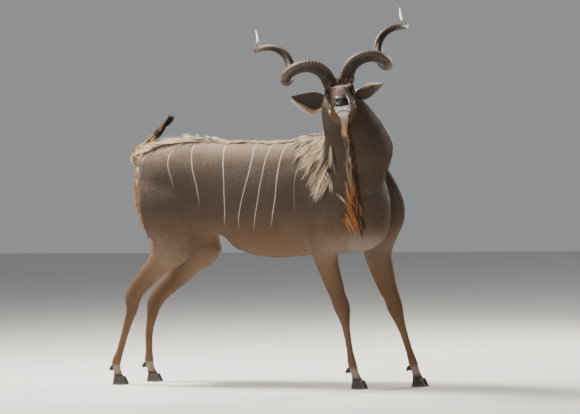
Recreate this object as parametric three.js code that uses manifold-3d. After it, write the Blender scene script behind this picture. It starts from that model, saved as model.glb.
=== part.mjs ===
import * as THREE from 'three';
import { mergeVertices } from 'three/addons/utils/BufferGeometryUtils.js';
import Module from 'manifold-3d';

// A greater kudu bull, life size, standing with its legs camped out, its tail curled over the rump
// and its head turned to its right. Millimetres, +Z up, +X to the front, +Y to the animal's left.
// The pelvis lies along +X, and the trunk bends to the right in front of it.

// Gap between two pieces that touch, and how much a piece is grown to trim a neighbour clear of it
const GAP = 0.3;
const CLEAR = 0.4;
const LOCK_CLEAR = 0.6;

// Bend of the trunk, from the loin to the withers
const BEND_FROM = -200;
const BEND_TO = 600;
const BEND = THREE.MathUtils.degToRad(12);

// Trunk rings, rump to chest: place along the spine, back, belly, half width, height of the widest
// place, squareness
const TRUNK = [
  [-784, 1190, 1110, 20, 1150, 2.0],
  [-779, 1232, 1060, 60, 1148, 2.0],
  [-758, 1268, 985, 108, 1135, 2.1],
  [-705, 1308, 900, 152, 1112, 2.2],
  [-600, 1346, 850, 190, 1100, 2.3],
  [-480, 1369, 815, 207, 1100, 2.3],
  [-340, 1374, 796, 210, 1088, 2.2],
  [-200, 1362, 768, 220, 1070, 2.2],
  [-50, 1354, 722, 234, 1050, 2.2],
  [100, 1350, 705, 242, 1040, 2.2],
  [240, 1358, 712, 239, 1040, 2.2],
  [370, 1384, 722, 224, 1040, 2.1],
  [480, 1400, 730, 208, 1040, 2.1],
  [580, 1376, 730, 195, 1020, 2.1],
  [670, 1316, 738, 180, 1000, 2.1],
  [740, 1228, 760, 150, 985, 2.1],
  [790, 1130, 800, 110, 970, 2.0],
  [812, 1060, 850, 66, 955, 2.0],
  [820, 1010, 900, 30, 955, 2.0],
];

// Neck rings, chest to poll: centre x, y, z, heading and pitch of the throat side in degrees,
// reach to the throat, reach to the nape, half width
const NECK = [
  [500, -60, 1080, -30, -45, 240, 240, 170],
  [606, -89, 1170, -64, -36, 225, 236, 186],
  [674, -127, 1280, -80, -22, 200, 212, 181],
  [665, -165, 1390, -77, -12, 166, 192, 172],
  [643, -192, 1480, -75, -6, 126, 164, 152],
  [622, -215, 1560, -70, 0, 92, 124, 122],
  [612, -226, 1612, -70, 0, 40, 66, 62],
];

// Leg rings, body to hoof: centre x, y, z, reach to the front, back, outside and inside
const LEGS = {
  hind_right: {
    yaw: 0,
    rows: [
      [-520, -105, 1230, 120, 120, 30, 60],
      [-520, -110, 1150, 185, 185, 78, 60],
      [-520, -116, 1040, 215, 205, 104, 80],
      [-505, -125, 900, 205, 172, 96, 80],
      [-500, -128, 790, 135, 135, 80, 70],
      [-575, -125, 700, 82, 88, 62, 55],
      [-660, -120, 615, 60, 66, 48, 42],
      [-735, -115, 535, 46, 60, 38, 34],
      [-768, -112, 480, 42, 58, 36, 34],
      [-784, -112, 420, 38, 36, 29, 28],
      [-817, -111, 330, 27, 29, 23, 23],
      [-862, -110, 200, 24, 26, 21, 21],
      [-890, -110, 125, 28, 34, 27, 27],
      [-889, -110, 80, 25, 27, 25, 25],
      [-880, -110, 30, 38, 32, 32, 32],
    ],
  },
  hind_left: {
    yaw: 0,
    rows: [
      [-500, 105, 1230, 120, 120, 30, 60],
      [-497, 110, 1150, 185, 185, 78, 60],
      [-490, 116, 1040, 215, 205, 104, 80],
      [-460, 125, 890, 200, 185, 96, 80],
      [-455, 128, 770, 125, 130, 80, 70],
      [-535, 125, 670, 80, 85, 62, 55],
      [-630, 120, 575, 58, 64, 48, 42],
      [-715, 115, 495, 46, 58, 38, 34],
      [-755, 112, 440, 42, 54, 36, 34],
      [-775, 112, 385, 37, 36, 29, 28],
      [-795, 111, 290, 28, 29, 23, 23],
      [-800, 110, 190, 25, 26, 21, 21],
      [-800, 110, 125, 28, 34, 27, 27],
      [-792, 110, 80, 25, 27, 25, 25],
      [-780, 110, 30, 38, 32, 32, 32],
    ],
  },
  front_right: {
    yaw: -10,
    rows: [
      [462, -150, 1290, 70, 80, 20, 60],
      [480, -184, 1210, 118, 128, 44, 60],
      [505, -202, 1110, 140, 145, 58, 80],
      [540, -212, 970, 160, 155, 62, 90],
      [512, -210, 850, 130, 138, 60, 80],
      [482, -202, 755, 84, 94, 56, 65],
      [497, -194, 665, 67, 73, 46, 48],
      [520, -189, 582, 60, 60, 40, 42],
      [545, -188, 510, 50, 52, 37, 38],
      [567, -188, 445, 52, 50, 40, 40],
      [580, -189, 390, 38, 36, 33, 33],
      [591, -190, 330, 26, 27, 24, 24],
      [609, -191, 217, 22, 23, 21, 21],
      [625, -192, 130, 27, 31, 27, 27],
      [638, -192, 85, 25, 27, 25, 25],
      [652, -192, 30, 39, 33, 33, 33],
    ],
  },
  front_left: {
    yaw: -10,
    rows: [
      [560, 50, 1290, 70, 80, 20, 60],
      [595, 70, 1210, 125, 130, 50, 60],
      [632, 80, 1110, 150, 155, 72, 62],
      [678, 88, 970, 168, 165, 80, 62],
      [676, 80, 850, 140, 142, 76, 60],
      [680, 62, 745, 94, 102, 62, 55],
      [695, 48, 675, 80, 84, 50, 48],
      [733, 39, 558, 62, 62, 42, 42],
      [765, 32, 490, 52, 52, 38, 38],
      [785, 27, 430, 50, 48, 40, 40],
      [807, 23, 375, 37, 36, 33, 33],
      [830, 18, 318, 28, 29, 25, 25],
      [872, 10, 204, 23, 25, 22, 22],
      [898, 5, 130, 27, 31, 27, 27],
      [912, 3, 85, 25, 27, 25, 25],
      [926, 2, 30, 39, 33, 33, 33],
    ],
  },
};

// Tail rings, rump to tip: centre x, z, half thickness, half width
const TAIL = [
  [-700, 1190, 40, 40],
  [-768, 1226, 34, 34],
  [-797, 1268, 27, 27],
  [-772, 1312, 23, 24],
  [-714, 1352, 21, 22],
  [-655, 1398, 20, 21],
  [-606, 1442, 17, 19],
  [-574, 1470, 8, 9],
];

// Head, in its own frame: origin between the eyes, +X to the nose, +Y left, +Z to the crown
const HEAD_AT = new THREE.Vector3(662, -334, 1612);
const HEAD_HEADING = -64;
const HEAD_PITCH = 1.5;
const HEAD_ROLL = 7.3;

// Head rings, back of the skull to the nose: place, top, bottom, half width, height of the widest
// place, squareness
const HEAD = [
  [-168, 28, -78, 58, -20, 2.0],
  [-146, 54, -118, 76, -24, 2.1],
  [-104, 68, -158, 82, -30, 2.2],
  [-62, 70, -172, 80, -26, 2.2],
  [-24, 62, -168, 77, -18, 2.2],
  [16, 50, -152, 70, -22, 2.2],
  [60, 37, -137, 56, -35, 2.3],
  [102, 25, -130, 48, -48, 2.3],
  [140, 17, -128, 44, -56, 2.4],
  [174, 8, -131, 44, -61, 2.5],
  [202, 0, -134, 47, -66, 2.5],
  [222, -10, -130, 46, -68, 2.4],
  [236, -28, -116, 37, -70, 2.2],
  [242, -46, -98, 20, -72, 2.0],
];

// Horn centre line: a helix about an axis that leans back and out, drawn in towards the tip
const HORN_ROOT = new THREE.Vector3(-72, 50, 70);
const HORN_SPLAY = 22.4;
const HORN_LEAN = 61.3;
const HORN_PHASE = 265;
const HORN_TURNS = 2;
const HORN_PITCH = 338;
const HORN_PITCH_GAIN = 75;
const HORN_COIL = [105, 76, 44, 45, 38, 58];
const HORN_THICK = [38, 32, 26.5, 21, 14.5, 3.5];
const HORN_KEEL = 0.2;
const HORN_KEEL_AT = 35;
const HORN_STEPS = 44;
const HORN_SIDES = 8;
const PEDICLE = 34;

// Ears, in the head's frame: root, direction, direction that the cup faces, length and half width
const EARS = {
  ear_right: { root: [-118, -72, -30], along: [-0.36, -0.9, 0.26], open: [1, -0.2, 0], skew: -0.4 },
  ear_left: { root: [-118, 72, -14], along: [-0.6, 0.78, 0.16], open: [-0.6, 0, 0.8], skew: 0.1 },
};
const EAR_LENGTH = 220;
const EAR_WALL = 3.2;
const EAR_STUB = 26;

// Eyes, in the head's frame
const EYE_PLACE = [-2, 66, 0];
const EYE_RADIUS = 20.5;
const LID = 4.2;
const EYE_LOOK = [0.46, 0.87, 0.1];

// Hooves: two toes on each foot, and two dewclaws behind each fetlock
const HOOF_HEIGHT = 46;
const TOE_HALF = 15.5;
const TOE_SPACING = 17.2;
const TOE_ROWS = [
  [0, 47, 38, 1.0],
  [8, 45, 38, 1.0],
  [28, 35, 34, 0.95],
  [46, 24, 30, 0.84],
];
const DEWCLAW_DROP = 30;

// Locks of hair: how many, where their line runs, and how long they are along it
const CREST_LOCKS = 30;
const CREST_FROM = -640;
const CREST_TO = 400;
const CREST_LENGTH = [85, 125, 120, 84, 80, 84, 100];
const FRINGE_LOCKS = 22;
const FRINGE_FROM = 4.75;
const FRINGE_TO = 0.35;
const FRINGE_LENGTH = [90, 110, 120, 150, 190, 190, 150];
const FRINGE_WIDTH = [20, 24, 30, 38, 40];
const BEARD_LOCKS = 5;
const TAIL_LOCKS = 16;

// Colours of the coat and horn, as sRGB
const COAT = 0x7d6858;
const COAT_WARM = 0x80614a;
const HORN_BROWN = 0x4a3a2c;
const HOOF_DARK = 0x2b2521;
const EYE_DARK = 0x17110d;
const TAIL_BROWN = 0x8a5a38;

const wasm = await Module();
wasm.setup();

const vec = (x, y, z) => new THREE.Vector3(x, y, z);
const deg = THREE.MathUtils.degToRad;

// Even random draws from a seed, the same on every run
function seeded(seed) {
  let state = seed >>> 0;
  return () => {
    state = (state + 0x6d2b79f5) >>> 0;
    let t = state;
    t = Math.imul(t ^ (t >>> 15), t | 1);
    t ^= t + Math.imul(t ^ (t >>> 7), t | 61);
    return ((t ^ (t >>> 14)) >>> 0) / 4294967296;
  };
}

// A row of numbers at place u along a table of rows, on a smooth curve through them
function rowAt(rows, u) {
  const last = rows.length - 1;
  const i = Math.min(last - 1, Math.max(0, Math.floor(u)));
  const t = u - i;
  const [a, b, c, d] = [rows[Math.max(0, i - 1)], rows[i], rows[i + 1], rows[Math.min(last, i + 2)]];
  return b.map((_, k) => {
    const m0 = (c[k] - a[k]) / 2;
    const m1 = (d[k] - b[k]) / 2;
    const t2 = t * t;
    const t3 = t2 * t;
    return (2 * t3 - 3 * t2 + 1) * b[k] + (t3 - 2 * t2 + t) * m0
      + (3 * t2 - 2 * t3) * c[k] + (t3 - t2) * m1;
  });
}

// All rows of a table with extra rows between them
function spread(rows, steps) {
  const count = (rows.length - 1) * steps;
  return Array.from({ length: count + 1 }, (_, i) => rowAt(rows, i / steps));
}

// A number at place t from 0 to 1 along a list of numbers
function along(list, t) {
  return rowAt(list.map((n) => [n]), t * (list.length - 1))[0];
}

// Points round a section: reach to +a, -a, +b and -b, and how square it is
function section(centre, axisA, axisB, [a1, a0, b1, b0], power, sides) {
  const points = [];
  for (let k = 0; k < sides; k++) {
    const turn = (2 * Math.PI * k) / sides;
    const c = Math.cos(turn);
    const s = Math.sin(turn);
    const a = Math.sign(c) * Math.abs(c) ** (2 / power) * (c > 0 ? a1 : a0);
    const b = Math.sign(s) * Math.abs(s) ** (2 / power) * (s > 0 ? b1 : b0);
    points.push(centre.clone().addScaledVector(axisA, a).addScaledVector(axisB, b));
  }
  return points;
}

// The middle of a ring of points
function middleOf(ring) {
  const middle = vec(0, 0, 0);
  ring.forEach((p) => middle.addScaledVector(p, 1 / ring.length));
  return middle;
}

// Moves a ring away from the ring next to it
function pushOut(ring, next, reach) {
  const way = middleOf(ring).sub(middleOf(next)).normalize();
  return ring.map((p) => p.clone().addScaledVector(way, reach));
}

// A closed skin over a row of sections with the same number of points, which may end in a point
function loft(rows, grow = 0, apex = null) {
  const sections = [...rows];
  if (grow > 0) {
    sections[0] = pushOut(rows[0], rows[1], grow);
    if (!apex) sections[rows.length - 1] = pushOut(rows.at(-1), rows.at(-2), grow);
  }
  const sides = sections[0].length;
  const points = sections.flat();
  const index = [];
  for (let i = 0; i + 1 < sections.length; i++) {
    for (let k = 0; k < sides; k++) {
      const a = i * sides + k;
      const b = i * sides + ((k + 1) % sides);
      index.push(a, b, a + sides, b, b + sides, a + sides);
    }
  }
  const start = points.length;
  points.push(middleOf(sections[0]), apex ?? middleOf(sections.at(-1)));
  const end = (sections.length - 1) * sides;
  for (let k = 0; k < sides; k++) {
    const next = (k + 1) % sides;
    index.push(start, next, k, start + 1, end + k, end + next);
  }
  return shell(points, index);
}

// A geometry from points and triangles, with its faces turned outwards
function shell(points, index) {
  let volume = 0;
  for (let i = 0; i < index.length; i += 3) {
    const [a, b, c] = [points[index[i]], points[index[i + 1]], points[index[i + 2]]];
    volume += a.dot(b.clone().cross(c));
  }
  if (volume < 0) index.reverse();
  const geometry = new THREE.BufferGeometry();
  geometry.setAttribute('position', new THREE.Float32BufferAttribute(points.flatMap((p) => p.toArray()), 3));
  geometry.setIndex(index);
  return geometry;
}

// A solid for joining and cutting, from a closed geometry
function solid(geometry) {
  const bare = geometry.clone();
  bare.deleteAttribute('normal');
  bare.deleteAttribute('uv');
  const merged = mergeVertices(bare, 1e-4);
  return new wasm.Manifold(new wasm.Mesh({
    numProp: 3,
    vertProperties: new Float32Array(merged.attributes.position.array),
    triVerts: new Uint32Array(merged.index.array),
  }));
}

const join = (solids) => wasm.Manifold.union(solids);

// The largest closed surface of a solid, with its hollows filled and loose scraps dropped
function largest(whole) {
  const parts = whole.decompose();
  return parts.reduce((best, part) => (part.volume() > best.volume() ? part : best));
}

// A long box whose one face is the plane through a point, and which lies where the normal points
const REGION = 4000;
function halfSpace(point, normal) {
  const box = new THREE.BoxGeometry(REGION, REGION, REGION);
  box.translate(0, 0, REGION / 2);
  const turn = new THREE.Quaternion().setFromUnitVectors(vec(0, 0, 1), normal.clone().normalize());
  box.applyQuaternion(turn);
  box.translate(point.x, point.y, point.z);
  return solid(box);
}

// A box between two corners
function block(low, high) {
  const size = high.map((h, i) => h - low[i]);
  const box = new THREE.BoxGeometry(...size);
  box.translate(...low.map((l, i) => l + size[i] / 2));
  return solid(box);
}

// Trunk: a place on the spine after the bend, and the direction to the left there
function spineAt(x, z) {
  const radius = (BEND_TO - BEND_FROM) / BEND;
  const turn = Math.min(BEND, Math.max(0, (x - BEND_FROM) / radius));
  const past = Math.max(0, x - BEND_TO);
  const before = Math.min(x, BEND_FROM);
  const at = vec(
    before + radius * Math.sin(turn) + past * Math.cos(turn),
    -radius * (1 - Math.cos(turn)) - past * Math.sin(turn),
    z,
  );
  return { at, left: vec(Math.sin(turn), Math.cos(turn), 0) };
}

const UP = vec(0, 0, 1);

function trunkSection([x, top, low, half, wide, power], grow, sides) {
  const { at, left } = spineAt(x, wide);
  const reach = [half, half, top - wide, wide - low].map((n) => n + grow);
  return section(at, left, UP, reach, power, sides);
}

function trunkSolid(grow, steps = 1, sides = 22) {
  return solid(loft(spread(TRUNK, steps).map((row) => trunkSection(row, grow, sides)), grow));
}

// Neck: the directions to the throat and to the side at one ring
function neckAxes(row) {
  const [, , , heading, pitch] = row;
  const h = deg(heading);
  const p = deg(pitch);
  const throat = vec(Math.cos(h) * Math.cos(p), Math.sin(h) * Math.cos(p), Math.sin(p));
  return { throat, side: vec(-Math.sin(h), Math.cos(h), 0) };
}

function neckSection(row, grow, sides) {
  const [x, y, z, , , front, back, half] = row;
  const { throat, side } = neckAxes(row);
  const reach = [front, back, half, half].map((n) => n + grow);
  return section(vec(x, y, z), throat, side, reach, 2.15, sides);
}

function neckSolid(grow, steps = 2, sides = 20) {
  return solid(loft(spread(NECK, steps).map((row) => neckSection(row, grow, sides)), grow));
}

// Legs: rings square to the run of the limb, with its own left and right
function legSolid(leg, grow, steps = 1, sides = 12) {
  const rows = spread(leg.rows, steps);
  const left = vec(-Math.sin(deg(leg.yaw)), Math.cos(deg(leg.yaw)), 0);
  const outside = Math.sign(rows[0][1] - spineAt(rows[0][0], 0).at.y);
  const rings = rows.map((row, i) => {
    const before = rows[Math.max(0, i - 1)];
    const after = rows[Math.min(rows.length - 1, i + 1)];
    const run = vec(after[0] - before[0], after[1] - before[1], after[2] - before[2]).normalize();
    const front = run.clone().cross(left).normalize();
    const [x, y, z, fore, aft, out, inner] = row;
    const sideReach = outside > 0 ? [out, inner] : [inner, out];
    const reach = [fore, aft, ...sideReach].map((n) => n + grow);
    return section(vec(x, y, z), front, left, reach, 2.1, sides);
  });
  return solid(loft(rings, grow));
}

// Tail: the run of its middle, with a direction across and one outwards from the curl
function tailPlace(u) {
  const [x, z, thick, half] = rowAt(TAIL, u);
  const [x2, z2] = rowAt(TAIL, u + 0.02);
  const [x1, z1] = rowAt(TAIL, u - 0.02);
  const run = vec(x2 - x1, 0, z2 - z1).normalize();
  return { at: vec(x, 0, z), run, out: vec(-run.z, 0, run.x), thick, half };
}

function tailSolid(grow, steps = 2, sides = 10) {
  const rings = [];
  for (let i = 0; i <= (TAIL.length - 1) * steps; i++) {
    const { at, out, thick, half } = tailPlace(i / steps);
    const reach = [thick, thick, half, half].map((n) => n + grow);
    rings.push(section(at, out, vec(0, 1, 0), reach, 2, sides));
  }
  return solid(loft(rings, grow));
}

// Head: from its own frame to the model's
function headMatrix() {
  const h = deg(HEAD_HEADING);
  const p = deg(HEAD_PITCH);
  const r = deg(HEAD_ROLL);
  const nose = vec(Math.cos(h) * Math.cos(p), Math.sin(h) * Math.cos(p), Math.sin(p));
  const left = vec(-Math.sin(h), Math.cos(h), 0);
  const crown = nose.clone().cross(left);
  const rolled = left.clone().multiplyScalar(Math.cos(r)).addScaledVector(crown, Math.sin(r));
  const up = nose.clone().cross(rolled);
  return new THREE.Matrix4().makeBasis(nose, rolled, up).setPosition(HEAD_AT);
}
const TO_HEAD = headMatrix();
const fromHead = (p) => p.clone().applyMatrix4(TO_HEAD);
const headWay = (p) => p.clone().transformDirection(TO_HEAD);

// A ball with its own reach along each of the head's axes
function ball(centre, reach, detail = 12) {
  const geometry = new THREE.SphereGeometry(1, detail, Math.round(detail * 0.7));
  geometry.scale(...reach);
  geometry.translate(...centre);
  geometry.applyMatrix4(TO_HEAD);
  return solid(geometry);
}

function skullSolid(grow, steps = 1, sides = 20) {
  const rings = spread(HEAD, steps).map(([x, top, low, half, wide, power]) => {
    const reach = [half, half, top - wide, wide - low].map((n) => n + grow);
    return section(vec(x, 0, wide), vec(0, 1, 0), UP, reach, power, sides).map(fromHead);
  });
  return solid(loft(rings, grow));
}

// Horn: centre line, with its section turned so that the keel follows the helix
function hornPlace(t, side) {
  const s = deg(HORN_SPLAY);
  const b = deg(HORN_LEAN);
  const axis = vec(-Math.sin(b) * Math.cos(s), Math.sin(s), Math.cos(b) * Math.cos(s));
  const first = vec(Math.cos(b), 0, Math.sin(b));
  first.addScaledVector(axis, -first.dot(axis)).normalize();
  const second = axis.clone().cross(first);
  const point = (u) => {
    const turn = deg(HORN_PHASE) + 2 * Math.PI * HORN_TURNS * u;
    const rise = HORN_TURNS * (HORN_PITCH * u + HORN_PITCH_GAIN * u * u);
    const radial = first.clone().multiplyScalar(Math.cos(turn)).addScaledVector(second, Math.sin(turn));
    return { radial, at: axis.clone().multiplyScalar(rise).addScaledVector(radial, along(HORN_COIL, u)) };
  };
  const here = point(t);
  const run = point(t + 0.004).at.sub(point(t - 0.004).at).normalize();
  const at = here.at.sub(point(0).at).add(HORN_ROOT);
  const across = run.clone().cross(here.radial).normalize();
  const out = across.clone().cross(run);
  const mirror = vec(1, side, 1);
  return {
    at: at.multiply(mirror),
    run: run.multiply(mirror),
    across: across.multiply(mirror),
    out: out.multiply(mirror),
  };
}

// One ring of a horn, in the model's frame
function hornRing(place, thick) {
  const points = [];
  for (let k = 0; k < HORN_SIDES; k++) {
    const turn = (2 * Math.PI * k) / HORN_SIDES;
    const keel = Math.max(0, Math.cos(turn)) ** 4;
    const reach = thick * (1 + HORN_KEEL * keel);
    const swing = turn + deg(HORN_KEEL_AT);
    points.push(fromHead(place.at.clone()
      .addScaledVector(place.out, reach * Math.cos(swing))
      .addScaledVector(place.across, reach * Math.sin(swing))));
  }
  return points;
}

function hornSolid(side, grow = 0) {
  const rings = [];
  for (let i = 0; i <= HORN_STEPS; i++) {
    const t = i / HORN_STEPS;
    rings.push(hornRing(hornPlace(t, side), along(HORN_THICK, t) + grow));
  }
  return solid(loft(rings, grow));
}

// The bony stub under a horn, from inside the skull to just under the horn
function pedicleSolid(side) {
  const place = hornPlace(0, side);
  const shifted = (back) => ({ ...place, at: place.at.clone().addScaledVector(place.run, -back) });
  return solid(loft([
    hornRing(shifted(PEDICLE + 30), HORN_THICK[0] * 0.9),
    hornRing(shifted(PEDICLE), HORN_THICK[0] * 1.02),
    hornRing(shifted(GAP), HORN_THICK[0] * 1.06),
  ]));
}

// Ear: an open cup, drawn as a crescent that is rolled shut at the root and flat near the tip
function earFrame(ear) {
  const run = vec(...ear.along).normalize();
  const open = vec(...ear.open);
  open.addScaledVector(run, -open.dot(run)).normalize();
  return { root: vec(...ear.root), run, open, across: run.clone().cross(open) };
}

const EAR_HALF = [24, 44, 62, 64, 52, 38, 22, 5];
const EAR_DEPTH = [22, 34, 42, 40, 32, 23, 13, 4];
const EAR_HOLLOW = [0, 0.55, 0.85, 0.95, 0.95, 0.95, 0.9, 0.6];
const EAR_ARC = 7;

function earSection(ear, t) {
  const { root, run, open, across } = earFrame(ear);
  const half = along(EAR_HALF, t);
  const depth = along(EAR_DEPTH, t);
  const hollow = along(EAR_HOLLOW, t);
  const middle = root.clone().addScaledVector(run, EAR_LENGTH * t)
    .addScaledVector(open, -10 * Math.sin(Math.PI * t))
    .addScaledVector(across, ear.skew * (half - EAR_HALF[0] * (1 - t)));
  const outer = [];
  const inner = [];
  for (let k = 0; k <= EAR_ARC; k++) {
    const turn = Math.PI * (k / EAR_ARC);
    const c = Math.cos(turn);
    const s = Math.sin(turn);
    const lip = 0.1 * depth;
    outer.push(middle.clone().addScaledVector(across, half * c).addScaledVector(open, lip - depth * s));
    const hw = Math.max(0.5, half - EAR_WALL);
    const hd = (depth - EAR_WALL) * (2 * hollow - 1);
    inner.push(middle.clone().addScaledVector(across, hw * c).addScaledVector(open, lip + 0.4 - hd * s));
  }
  return [...outer, ...inner.reverse()].map(fromHead);
}

function earSolid(ear) {
  const steps = 10;
  return solid(loft(Array.from({ length: steps + 1 }, (_, i) => earSection(ear, i / steps))));
}

// The root of the ear on the skull, ending just under the cup
function earStub(ear) {
  const { root, run, open, across } = earFrame(ear);
  const ring = (back, reach) => section(
    root.clone().addScaledVector(run, -back), across, open, [reach, reach, reach, reach], 2, 12,
  ).map(fromHead);
  return solid(loft([ring(EAR_STUB + 20, 20), ring(EAR_STUB, 22), ring(GAP, 20)]));
}

// Eyes and lids: the ball in its socket, and a lid over it that is open in an almond
function eyeCentre(side) {
  return [EYE_PLACE[0], side * EYE_PLACE[1], EYE_PLACE[2]];
}

function eyeSolid(side) {
  return ball(eyeCentre(side), [EYE_RADIUS, EYE_RADIUS, EYE_RADIUS], 12);
}

function lidSolid(side) {
  const r = EYE_RADIUS + LID;
  return ball(eyeCentre(side), [r * 1.08, r, r * 0.98], 12);
}

function lidOpening(side) {
  const shape = new THREE.Shape();
  shape.moveTo(-19, -3);
  shape.quadraticCurveTo(-2, 15, 18, 4);
  shape.quadraticCurveTo(2, -13, -19, -3);
  const cut = new THREE.ExtrudeGeometry(shape, { depth: 40, bevelEnabled: false, curveSegments: 3 });
  const look = vec(EYE_LOOK[0], side * EYE_LOOK[1], EYE_LOOK[2]).normalize();
  const fore = vec(0, 0, 1).cross(look).normalize().multiplyScalar(-side);
  const basis = new THREE.Matrix4().makeBasis(fore, look.clone().cross(fore), look);
  cut.applyMatrix4(basis.setPosition(...eyeCentre(side)));
  cut.applyMatrix4(TO_HEAD);
  return solid(cut);
}

// Mouth line: a thin slot round the front of the muzzle, with the upper lip over the lower
function mouthSlot() {
  const front = 236;
  const plate = (back, reach, tip, thick) => {
    const shape = new THREE.Shape();
    shape.moveTo(back, -reach);
    shape.bezierCurveTo(tip - 30, -reach, tip, -reach * 0.8, tip, 0);
    shape.bezierCurveTo(tip, reach * 0.8, tip - 30, reach, back, reach);
    const slab = new THREE.ExtrudeGeometry(shape, { depth: thick, bevelEnabled: false, curveSegments: 5 });
    slab.translate(0, 0, -thick / 2);
    slab.rotateY(deg(-3));
    slab.translate(0, 0, -102);
    slab.applyMatrix4(TO_HEAD);
    return solid(slab);
  };
  return plate(120, 70, front + 40, 4).subtract(plate(100, 35, front - 9, 12));
}

// Places on the head that stand out from the smooth skull or are sunk into it
function headDetails(side, grow = 0) {
  const bump = (centre, reach) => ball(centre, reach.map((n) => n + grow), 8);
  return {
    raised: [
      bump([-6, side * 61, 27], [38, 27, 20]),
      bump([214, side * 25, -42], [24, 21, 24]),
      bump([192, side * 24, -84], [38, 24, 20]),
    ],
    sunk: [
      ball([238, side * 27, -46], [15, 7, 10], 8),
    ],
  };
}

// The skull with its bumps and the neck behind it, a little grown, to trim the ears clear of them
function grownSkull() {
  return join([skullSolid(CLEAR), neckSolid(CLEAR),
    ...[-1, 1].flatMap((side) => headDetails(side, CLEAR).raised)]);
}

function headParts() {
  const sides = [-1, 1];
  const added = [skullSolid(0), ball([190, 0, -118], [30, 34, 24], 10)];
  const cut = [mouthSlot()];
  sides.forEach((side) => {
    const { raised, sunk } = headDetails(side);
    added.push(...raised, pedicleSolid(side), lidSolid(side));
    cut.push(...sunk, hornSolid(side, CLEAR), lidOpening(side), ball(eyeCentre(side), Array(3).fill(EYE_RADIUS + GAP), 12));
  });
  Object.values(EARS).forEach((ear) => added.push(earStub(ear)));
  return { added, cut };
}

// Hooves and dewclaws
function toeSolid(foot, leg, side) {
  const left = vec(-Math.sin(deg(leg.yaw)), Math.cos(deg(leg.yaw)), 0);
  const front = left.clone().cross(UP);
  const rings = TOE_ROWS.map(([z, fore, aft, share]) => {
    const centre = vec(foot[0] + 8, foot[1], z).addScaledVector(left, side * TOE_SPACING);
    const half = TOE_HALF * share;
    const inner = TOE_HALF;
    const reach = side > 0 ? [half, inner] : [inner, half];
    return section(centre, front, left, [fore, aft, ...reach], 2.3, 10);
  });
  return solid(loft(rings));
}

function dewclawSolid(leg, side) {
  const fetlock = leg.rows.at(-3);
  const [x, y, z, , aft] = fetlock;
  const left = vec(-Math.sin(deg(leg.yaw)), Math.cos(deg(leg.yaw)), 0);
  const front = left.clone().cross(UP);
  const place = (back, drop) => vec(x, y, z - drop).addScaledVector(front, -aft - back)
    .addScaledVector(left, side * 13);
  const ring = (back, drop, reach) => section(place(back, drop), front, left, Array(4).fill(reach), 2, 6);
  return solid(loft([ring(-16, DEWCLAW_DROP - 16, 9), ring(-4, DEWCLAW_DROP, 10), ring(2, DEWCLAW_DROP + 16, 5)]));
}

const sideTurn = (point, out) => ({ point, out: out.normalize() });

// A place on the trunk: turn is 0 at the back line and 90 halfway down the flank
function trunkPlace(x, turn, side) {
  const [, top, low, half, wide, power] = rowAt(TRUNK, trunkIndex(x));
  const { at, left } = spineAt(x, wide);
  const c = Math.cos(deg(90 - turn)) ** (2 / power) * side;
  const s = Math.sin(deg(90 - turn));
  const b = Math.sign(s) * Math.abs(s) ** (2 / power);
  const reach = s > 0 ? top - wide : wide - low;
  const point = at.clone().addScaledVector(left, c * half).addScaledVector(UP, b * reach);
  return sideTurn(point, left.clone().multiplyScalar(c / half).addScaledVector(UP, b / reach));
}

// Where a place along the spine stands in the trunk's table
function trunkIndex(x) {
  const i = Math.min(TRUNK.length - 2, Math.max(0, TRUNK.findIndex((row) => row[0] > x) - 1));
  return i + (x - TRUNK[i][0]) / (TRUNK[i + 1][0] - TRUNK[i][0]);
}

// A place on the neck: turn is 0 at the throat and 180 at the nape
function neckPlace(u, turn, side) {
  const row = rowAt(NECK, u);
  const { throat, side: left } = neckAxes(row);
  const [x, y, z, , , front, back, half] = row;
  const c = Math.cos(deg(turn));
  const s = Math.sin(deg(turn)) * side;
  const reach = c > 0 ? front : back;
  const point = vec(x, y, z).addScaledVector(throat, c * reach).addScaledVector(left, s * half);
  return sideTurn(point, throat.clone().multiplyScalar(c / reach).addScaledVector(left, s / half));
}

// Lock of hair: flat, of diamond section, tapered, its root sunk into the body. It sets out along its
// lie, droops, and where the body is in its way it lies on the body
const LOCK_AT = [0, 0.22, 0.46, 0.72];
const LOCK_WIDE = [0.62, 1, 0.94, 0.6];
const LOCK_SINK = 14;
const LOCK_RISE = 7;
const LOCK_REACH = 70;

const bodyShape = new THREE.Mesh();
const caster = new THREE.Raycaster();

// The height of a point above the body, measured along a direction
function heightOver(point, out) {
  caster.set(point.clone().addScaledVector(out, LOCK_REACH), out.clone().negate());
  const hit = caster.intersectObject(bodyShape, false)[0];
  return hit && hit.distance < 2 * LOCK_REACH ? hit.distance - LOCK_REACH : LOCK_REACH;
}

function lockCourse({ root, out, lie, droop, length, rise = 16 }) {
  const ends = [...LOCK_AT, 1];
  const course = [];
  let at = root.clone();
  let before = 0;
  ends.forEach((s) => {
    const way = lie.clone().addScaledVector(droop, s).normalize();
    at = at.clone().addScaledVector(way, length * (s - before));
    before = s;
    const wanted = s === 0 ? -LOCK_SINK : LOCK_RISE + (rise - LOCK_RISE) * s;
    const short = wanted - heightOver(at, out);
    if (s === 0 || short > 0) at.addScaledVector(out, s === 0 ? -LOCK_SINK : short);
    course.push(at);
  });
  return course;
}

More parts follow.
